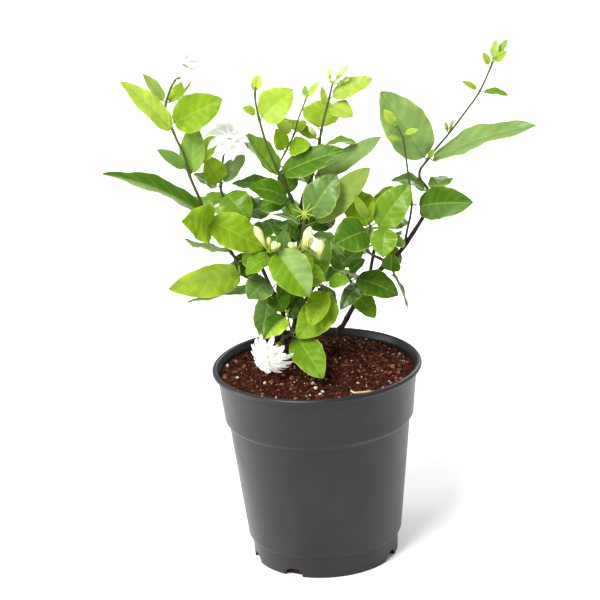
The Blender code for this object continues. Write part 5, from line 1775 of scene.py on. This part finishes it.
@dataclass
class LeafyShoot:
    """A green shoot: its stalk and twigs, leaves, flower stalks and calyx lobes."""

    shoot: Shoot
    foliage: Foliage
    brown: Colour = (0.042, 0.044, 0.014)
    green: Colour = (0.100, 0.150, 0.024)
    withered: Colour = (0.070, 0.045, 0.018)
    calyx: Colour = (0.46, 0.56, 0.07)
    # Radii along a calyx lobe
    bud_lobe: tuple[float, ...] = (0.30, 0.28, 0.26, 0.24, 0.20, 0.14, 0.08)
    bloom_lobe: tuple[float, ...] = (0.36, 0.34, 0.32, 0.28, 0.24, 0.18, 0.10)
    bare_start: float = 2.2
    twig: tuple[float, float] = (0.7, 0.5)
    swelling: float = 0.38
    swelling_reach: float = 1.3

    def build(self, skins: Sequence[bpy.types.Material]) -> None:
        """Builds the shoot in the place of its solid.

        Args:
            skins: The leaf's upper face, its lower face and the stalk.
        """
        chance = random.Random(self.shoot.name)
        work = Workpiece(self.shoot.name.replace("shoot", "leafy"))
        plan = Plan(self.shoot)
        lies = plan.lies(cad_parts[self.shoot.name])
        self._add_stalks(work, plan, [lie.root for lie in lies])
        for leaf, lie in zip(self.shoot.leaves, lies):
            self.foliage.add(work, leaf, lie, chance)
        if not self.shoot.bloom and not self.shoot.lobes:
            self._add_tip(work, plan.green, chance)
        for twig in plan.twigs:
            self._add_tip(work, twig, chance)
        for bud in self.shoot.buds:
            self._add_bud_stalk(work, bud, plan)
        if self.shoot.bloom:
            self._add_calyx(work, self.shoot.bloom)
        if self.shoot.lobes:
            self._add_lobes(work)
        work.finish(skins, "shoot", self.shoot.name)

    def _add_stalks(self, work: Workpiece, plan: Plan, roots: Sequence[Vector]) -> None:
        """Adds the stalk and twigs, swollen where leaves grow, brown below and green above.

        Args:
            work: The shoot's piece.
            plan: Where its stalks run.
            roots: Where its leaves grow.
        """
        first, last = self.shoot.radius
        spans = len(self.shoot.route) - 1
        share = self.shoot.wood_points / spans
        low = first + (last - first) * share
        start = plan.green[0] - (plan.green[1] - plan.green[0]).normalized() * 0.9
        routes = [([start, *plan.green[1:]], low, last, self.brown)]
        routes += [(twig, *self.twig, self.green) for twig in plan.twigs]
        for points, wide, thin, foot in routes:
            route = smooth_route(points, 7)
            steps = len(route) - 1
            radii = []
            tones = []
            for i, place in enumerate(route):
                near = min(((place - root).length for root in roots), default=FAR)
                swollen = 1.0 + self.swelling * bell(near, self.swelling_reach)
                radii.append((wide + (thin - wide) * i / steps) * swollen)
                tones.append(blend(foot, self.green, i / steps))
            work.sweep(route, radii, 12, tones, material=STALK)

    def _add_tip(self, work: Workpiece, route: Sequence[Vector], chance: random.Random) -> None:
        """Adds the small leaves that are still closed round each other at a growing tip.

        Args:
            work: The shoot's piece.
            route: The stalk that ends there.
            chance: The shoot's own draw.
        """
        end = route[-1]
        along = (end - route[-2]).normalized()
        for k, away in enumerate(around(*across_axes(along), 5, chance.random())):
            long = chance.uniform(3.4, 5.6)
            side = along.cross(away)
            lean = chance.uniform(0.25, 0.60)

            def surface(across: float, share: float) -> Vector:
                """Finds a point of the scale.

                Args:
                    across: The place across, from -1 to 1.
                    share: The place along, from 0 to 1.

                Returns:
                    The point.
                """
                half = long * 0.17 * self.foliage.outline(share) + 0.08
                way = along * math.cos(lean * share) + away * math.sin(lean * share)
                middle = end - along * 0.6 + away * (0.5 - 0.5 * across**2 * half)
                return middle + way * long * share + side * across * half

            tone = (*(YOUNG if k % 2 else FRESH).value, 0.3)
            work.blade((4, 7), surface, lambda across: tone, 0.28)

    def _add_bud_stalk(self, work: Workpiece, bud: Bud, plan: Plan) -> None:
        """Adds a bud's thin stalk, with its calyx lobes up the side of the bud.

        Args:
            work: The shoot's piece.
            bud: The bud.
            plan: Where the shoot's stalks run.
        """
        base, tip = seen(bud.base), seen(bud.tip)
        root = nearest_on(plan.green, base, self.bare_start)
        along = (tip - base).normalized()
        route = smooth_route([root, base - along * 1.6, base + along * 0.5], 5)
        radii = [0.5 + (bud.radius * 0.44 - 0.5) * (i / (len(route) - 1)) ** 2 for i in range(len(route))]
        work.sweep(route, radii, 9, [self.green, self.calyx], material=STALK)
        length = (tip - base).length
        for k, away in enumerate(around(*across_axes(along), 7)):
            reach = bud.radius * (1.0 + 0.25 * math.sin(3.1 * k))
            places = [
                base - along * 0.2 + away * bud.radius * 0.30,
                base + along * length * 0.16 + away * reach * 0.9,
                base + along * length * (0.34 + 0.06 * math.sin(2.0 * k)) + away * reach * 1.25,
            ]
            work.sweep(smooth_route(places, 3), self.bud_lobe, 5, [self.calyx], material=STALK)

    def _add_calyx(self, work: Workpiece, bloom: Bloom) -> None:
        """Adds the calyx below an open bloom, with its thread-like lobes.

        Args:
            work: The shoot's piece.
            bloom: The bloom.
        """
        start, centre = seen(bloom.start), seen(bloom.centre)
        along = (centre - start).normalized()
        foot = start + along * 0.8
        cup = [start - along * 0.5, foot, foot + along * 1.4]
        work.sweep(cup, [1.0, 1.35, 1.55], 10, [self.calyx], material=STALK)
        for k, away in enumerate(around(*across_axes(along), 9, 0.3)):
            reach = bloom.reach * (0.42 + 0.07 * math.sin(2.6 * k))
            places = [foot + away * 1.1, foot + away * reach * 0.45 + along * 0.8]
            places.append(foot + away * reach + along * (1.6 + 1.2 * math.sin(1.9 * k)))
            tone = self.withered if k % 2 else self.green
            work.sweep(smooth_route(places, 3), self.bloom_lobe, 5, [tone], material=STALK)

    def _add_lobes(self, work: Workpiece) -> None:
        """Adds the calyx that a dropped flower leaves: a cup with long thin lobes, like a small star.

        Args:
            work: The shoot's piece.
        """
        low, high, count, reach = self.shoot.lobes
        start, end = seen(low), seen(high)
        axis = (end - start).normalized()
        cup = [start - axis, start.lerp(end, 0.5), end]
        work.sweep(cup, [1.0, 1.5, 1.9], 12, [self.calyx], material=STALK)
        for k, away in enumerate(around(*across_axes(axis), count)):
            tip = end + (away * 0.86 + axis * (0.30 + 0.24 * math.sin(2.6 * k))) * reach
            foot = end - axis * 0.8 + away * 0.9
            route = smooth_route([foot, foot.lerp(tip, 0.5) + axis * 0.5, tip], 4)
            radii = [0.55 - 0.40 * (i / (len(route) - 1)) ** 1.5 for i in range(len(route))]
            work.sweep(route, radii, 7, [self.calyx], material=STALK)


@dataclass
class BudHead:
    """A closed bud with its petals rolled round each other."""

    cream: Colour = (0.78, 0.80, 0.26)
    white: Colour = (0.88, 0.87, 0.50)
    green: Colour = (0.36, 0.52, 0.06)
    # Shares of the length, and of the radius there
    stations: tuple[tuple[float, float], ...] = (
        (0.0, 0.38), (0.14, 0.50), (0.32, 0.70), (0.52, 0.92), (0.68, 0.98), (0.84, 0.78), (0.95, 0.38),
        (1.0, 0.08),
    )
    ridge: float = 0.07
    ridges: float = 5.0
    winding: float = 5.5

    def build(self, name: str, bud: Bud, skin: bpy.types.Material) -> None:
        """Builds one bud in the place of its solid.

        Args:
            name: The solid's name.
            bud: The bud.
            skin: Its material.
        """
        work = Workpiece(name.replace("bud_", "bud_head_", 1))
        base, tip = seen(bud.base), seen(bud.tip)
        base = base + (tip - base).normalized() * 0.2
        route = [base.lerp(tip, share) for share, _ in self.stations]
        route = smooth_route(route, 3)
        wide = smooth_route([Vector((share, size, 0.0)) for share, size in self.stations], 3)
        radii = [bud.radius * max(point.y, 0.06) for point in wide]
        tones = [self._tone(min(max(point.x, 0.0), 1.0)) for point in wide]

        def rolled(share: float, turn: float) -> float:
            """The ridges of the rolled petals."""
            ridges = math.cos(self.ridges * turn + self.winding * share)
            return 1.0 + self.ridge * ridges * math.sin(math.pi * share)

        work.sweep(route, radii, 30, tones, rolled)
        work.finish([skin], "bud", name)

    def _tone(self, share: float) -> Colour:
        """Green at the foot, cream, and white towards the tip."""
        ends = (self.green, self.cream, share / 0.3) if share < 0.3 else (self.cream, self.white, share)
        return blend(*ends)


@dataclass
class OpenBloom:
    """An open double flower: layers of curled petals round a tube, with a tight middle."""

    bloom: Bloom
    petals: int = 9
    curl: float = 0.25
    end_curl: float = 0.35
    cup: float = 0.22
    frill: float = 0.25
    crease: float = 0.22
    twist: float = 0.25
    thick: float = 0.34
    unruly: float = 9.0
    widened: float = 1.0
    narrow: bool = False
    # Radii along the tube, and the layers in the middle and between: rise in degrees, share of the reach
    tube: tuple[float, ...] = (1.1, 1.2, 1.3, 1.4, 1.5, 1.6, 1.8, 2.0, 2.3, 2.3)
    middle: tuple[tuple[float, float], ...] = ((66.0, 0.60), (82.0, 0.42))
    between: tuple[tuple[float, float], ...] = ((16.0, 0.96), (27.0, 0.90))

    def build(self, skin: bpy.types.Material) -> None:
        """Builds the bloom in the place of its solid.

        Args:
            skin: The petals' material.
        """
        chance = random.Random(self.bloom.name)
        work = Workpiece(self.bloom.name.replace("bloom", "flower"))
        start, centre = seen(self.bloom.start), seen(self.bloom.centre)
        axis = (centre - start).normalized()
        out, other = across_axes(axis)
        tube = [start + axis * 0.3, start.lerp(centre, 0.6), centre, centre + axis * 2.4]
        work.sweep(smooth_route(tube, 3), self.tube, 14)
        layers = [*self.bloom.layers, *self.middle]
        if self.narrow:
            layers[1:1] = self.between
        for level, (rise, share) in enumerate(layers):
            count = self.petals - level // 2
            foot = centre + axis * (0.2 + 1.1 * level)
            for k, away in enumerate(around(out, other, count, 0.5 * level)):
                lean = math.radians(rise + chance.uniform(-self.unruly, self.unruly))
                long = self.bloom.reach * share * chance.uniform(0.90, 1.0)
                root = foot + away * (1.6 - 0.3 * level)
                self._add_petal(work, root, away, axis, long, lean, chance)
        work.finish([skin], "bloom", self.bloom.name)

    def _add_petal(
        self,
        work: Workpiece,
        foot: Vector,
        away: Vector,
        axis: Vector,
        long: float,
        lean: float,
        chance: random.Random,
    ) -> None:
        """Adds a petal that widens towards its rounded or pointed end and bends back.

        Args:
            work: The bloom's piece.
            foot: Where it starts.
            away: The way out from the bloom's axis.
            axis: The bloom's axis.
            long: Its length.
            lean: How far it rises from the way out.
            chance: The bloom's own draw.
        """
        side = axis.cross(away).normalized()
        width = self.bloom.petal_width * self.widened * chance.uniform(0.88, 1.08)
        twist = chance.uniform(-self.twist, self.twist)
        seed = chance.uniform(0.0, 6.3)

        def surface(across: float, along: float) -> Vector:
            """Finds a point of the petal.

            Args:
                across: The place across, from -1 to 1.
                along: The place along, from 0 to 1.

            Returns:
                The point.
            """
            angle = lean - self.curl * along - self.end_curl * along**3
            way = away * math.cos(angle) + axis * math.sin(angle)
            normal = axis * math.cos(angle) - away * math.sin(angle)
            shape = self._outline(along)
            half = width * 0.5 * shape
            lift = self.cup * half * across**2 * (1.0 if along < 0.7 else -0.4)
            lift += self.frill * wave(along, 2.0, seed) * across**2 * shape
            lift -= self.crease * bell(across, 0.16) * (1.0 - along)
            turned = side * math.cos(twist * along) + normal * math.sin(twist * along)
            return foot + way * long * along + turned * across * half + normal * lift

        work.blade((8, 12), surface, lambda across: (1.0, 1.0, 1.0, 1.0), self.thick)

    def _outline(self, along: float) -> float:
        """Works out half the petal's width.

        Args:
            along: The share of the way to its end.

        Returns:
            Its share of the most.
        """
        if self.narrow:
            return max(0.05, 1.30 * (along + 0.15) ** 0.50 * max(1.0 - along, 0.0) ** 0.48)
        belly = math.sin(math.pi * min(along, 1.0) ** 1.25) ** 0.8
        return max(0.10, 0.34 + 0.70 * belly) * (1.0 - along**9 * 0.85)


@dataclass
class WoodyStem:
    """A brown stem with swollen joints and scars, and the wooden starts of the shoots that grow from it."""

    stem: Stem
    hole_depth: float = 22.0
    knot: float = 0.30
    knot_reach: float = 2.6
    scar: float = 0.16
    scar_reach: float = 1.5
    scar_step: float = 14.0
    unevenness: float = 0.07

    def build(self, soil: Soil, shoots: Sequence[Shoot], bark: bpy.types.Material) -> None:
        """Builds the stem in the place of its solid.

        Args:
            soil: What it stands in.
            shoots: The shoots that start from it in wood.
            bark: Its material.
        """
        x, y = self.stem.foot
        top = soil.height(x, y)
        low = [Vector((x, y, top + rise)) for rise in (0.4 - self.hole_depth, 3.0, 7.0)]
        main = low + [seen(place) for place in self.stem.route]
        work = Workpiece(self.stem.name.replace("wood", "stem"))
        knots = [seen(shoot.route[0]) for shoot in shoots]
        self._add(work, main, self.stem.radius, knots)
        for shoot in shoots:
            points = [seen(place) for place in shoot.route[: shoot.wood_points + 1]]
            first, last = shoot.radius
            end = first + (last - first) * shoot.wood_points / (len(shoot.route) - 1)
            self._add(work, points, (first, end), [points[0]])
        work.finish([bark], "wood", self.stem.name)

    def _add(
        self,
        work: Workpiece,
        points: Sequence[Vector],
        radius: tuple[float, float],
        knots: Sequence[Vector],
    ) -> None:
        """Adds a stretch of wood, thicker at its knots and a little uneven.

        Args:
            work: The stem's piece.
            points: The route's own points.
            radius: The radius at its start and its end.
            knots: Where shoots grow from it.
        """
        route = smooth_route(points, 10)
        steps = len(route) - 1
        radii = []
        for i, place in enumerate(route):
            near = min(((place - knot).length for knot in knots), default=FAR)
            past = (i * 1.4) % self.scar_step - self.scar_step * 0.5
            swollen = self.knot * bell(near, self.knot_reach) + self.scar * bell(past, self.scar_reach)
            radii.append((radius[0] + (radius[1] - radius[0]) * i / steps) * (1.0 + swollen))

        def rough(share: float, turn: float) -> float:
            """The bark's unevenness."""
            spot = Vector((math.cos(turn), math.sin(turn), share * steps * 0.35))
            return 1.0 + self.unevenness * noise.noise(spot * 2.2)

        work.sweep(route, radii, 16, shape=rough)


@dataclass
class Studio:
    """The pale floor, the soft light and the camera."""

    eye: Vector = field(default_factory=lambda: Vector((-9.61, -1605.28, 747.82)))
    pitch: float = 19.08
    roll: float = -3.06
    lens: float = 144.0
    sensor: float = 36.0
    nearest: float = 0.05
    farthest: float = 100.0
    floor_reach: float = 40.0
    floor_tones: tuple[Colour, Colour] = ((0.93, 0.93, 0.93), (0.95, 0.95, 0.95))
    surround: float = 0.60
    aim: Place = (0.0, 0.0, 0.22)
    # Kind, name, place in metres, size in metres or radians, and power
    lamps: tuple[tuple[str, str, Place, float, float], ...] = (
        ("SUN", "key", (-0.55, -0.75, 1.30), 0.50, 4.1),
        ("AREA", "side", (-1.15, -0.05, 0.30), 0.7, 13.0),
        ("AREA", "rear", (0.6, 1.1, 0.9), 0.7, 11.0),
    )

    def build(self) -> None:
        """Builds the floor, the lights and the camera."""
        self._build_floor()
        self._build_light()
        self._build_camera()

    def _build_floor(self) -> None:
        """A wide pale floor."""
        bm = bmesh.new()
        bmesh.ops.create_grid(bm, x_segments=2, y_segments=2, size=self.floor_reach)
        mesh = bpy.data.meshes.new("floor")
        bm.to_mesh(mesh)
        bm.free()
        graph = Graph("floor_pale")
        shade = graph.noise(graph.place(), 2.0, 2.0)
        mesh.materials.append(graph.finish(base_color=graph.mix(shade, *self.floor_tones), roughness=0.9))
        floor = bpy.data.objects.new("floor", mesh)
        bpy.context.scene.collection.objects.link(floor)

    def _build_light(self) -> None:
        """A bright surround, a broad key from the upper left, and a fill from the left and from behind."""
        bpy.context.scene.view_settings.view_transform = "Standard"
        world = bpy.data.worlds.new("surround")
        world.use_nodes = True
        background = world.node_tree.nodes["Background"].inputs
        background["Color"].default_value = (1.0, 1.0, 1.0, 1.0)
        background["Strength"].default_value = self.surround
        bpy.context.scene.world = world
        for kind, name, place, size, power in self.lamps:
            lamp = bpy.data.lights.new(name, kind)
            if kind == "SUN":
                lamp.angle = size
            else:
                lamp.size = size
            lamp.energy = power
            made = bpy.data.objects.new(name, lamp)
            made.location = place
            made.rotation_euler = (Vector(self.aim) - made.location).to_track_quat("-Z", "Y").to_euler()
            bpy.context.scene.collection.objects.link(made)

    def _build_camera(self) -> None:
        """The camera at the photograph's angle."""
        lens = bpy.data.cameras.new("camera")
        lens.lens = self.lens
        lens.sensor_width = self.sensor
        lens.clip_start = self.nearest
        lens.clip_end = self.farthest
        camera = bpy.data.objects.new("camera", lens)
        tilt = Matrix.Rotation(math.radians(90.0 - self.pitch), 4, "X")
        spin = Matrix.Rotation(math.radians(self.roll), 4, "Z")
        camera.matrix_world = Matrix.Translation(self.eye * MM) @ tilt @ spin
        bpy.context.scene.collection.objects.link(camera)
        bpy.context.scene.camera = camera


# The buds that are greener than the ripe ones, by their shoot
YOUNG_BUDS = {
    "shoot_centre_right": BudHead((0.55, 0.70, 0.14), (0.70, 0.78, 0.28), (0.36, 0.54, 0.06)),
    "shoot_long_right": BudHead((0.26, 0.34, 0.07), (0.40, 0.46, 0.12), (0.20, 0.30, 0.04)),
}

# The bloom with narrow pointed petals, and what sets it apart
STARRY_BLOOM = "bloom_low_front"
STARRY = {"petals": 10, "unruly": 4.0, "curl": 0.12, "widened": 1.34, "twist": 0.10, "narrow": True}


def main() -> None:
    """Builds the studio and then the plant, from the pot up."""
    logging.basicConfig(level=logging.INFO, format="%(message)s")
    Studio().build()
    Pot().build()
    soil = Soil()
    soil.build()
    DryStalk().build(soil)
    bark = Bark().make("bark")
    for stem in STEMS:
        grown = [shoot for shoot in SHOOTS if shoot.wood == stem.name and shoot.wood_points]
        WoodyStem(stem).build(soil, grown, bark)
    upper = Blade().make("leaf_upper")
    lower = Blade(under=True).make("leaf_lower")
    stalk = YoungStalk().make("young_stalk")
    petal = Petal().make("petal")
    # A petal with a stronger painted glow, for the starry bloom
    glowing_petal = Petal(shade=(0.88, 0.90, 0.70), shine=0.17).make("petal_glowing")
    bud_skin = BudSkin().make("bud_skin")
    foliage = Foliage()
    for shoot in SHOOTS:
        LeafyShoot(shoot, foliage).build([upper, lower, stalk])
        for i, bud in enumerate(shoot.buds):
            head = YOUNG_BUDS.get(shoot.name, BudHead())
            head.build(f"{shoot.name.replace('shoot', 'bud')}_{i + 1}", bud, bud_skin)
        if shoot.bloom:
            starry = shoot.bloom.name == STARRY_BLOOM
            ways = STARRY if starry else {}
            OpenBloom(shoot.bloom, **ways).build(glowing_petal if starry else petal)
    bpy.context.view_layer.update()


if __name__ == "__main__":
    main()
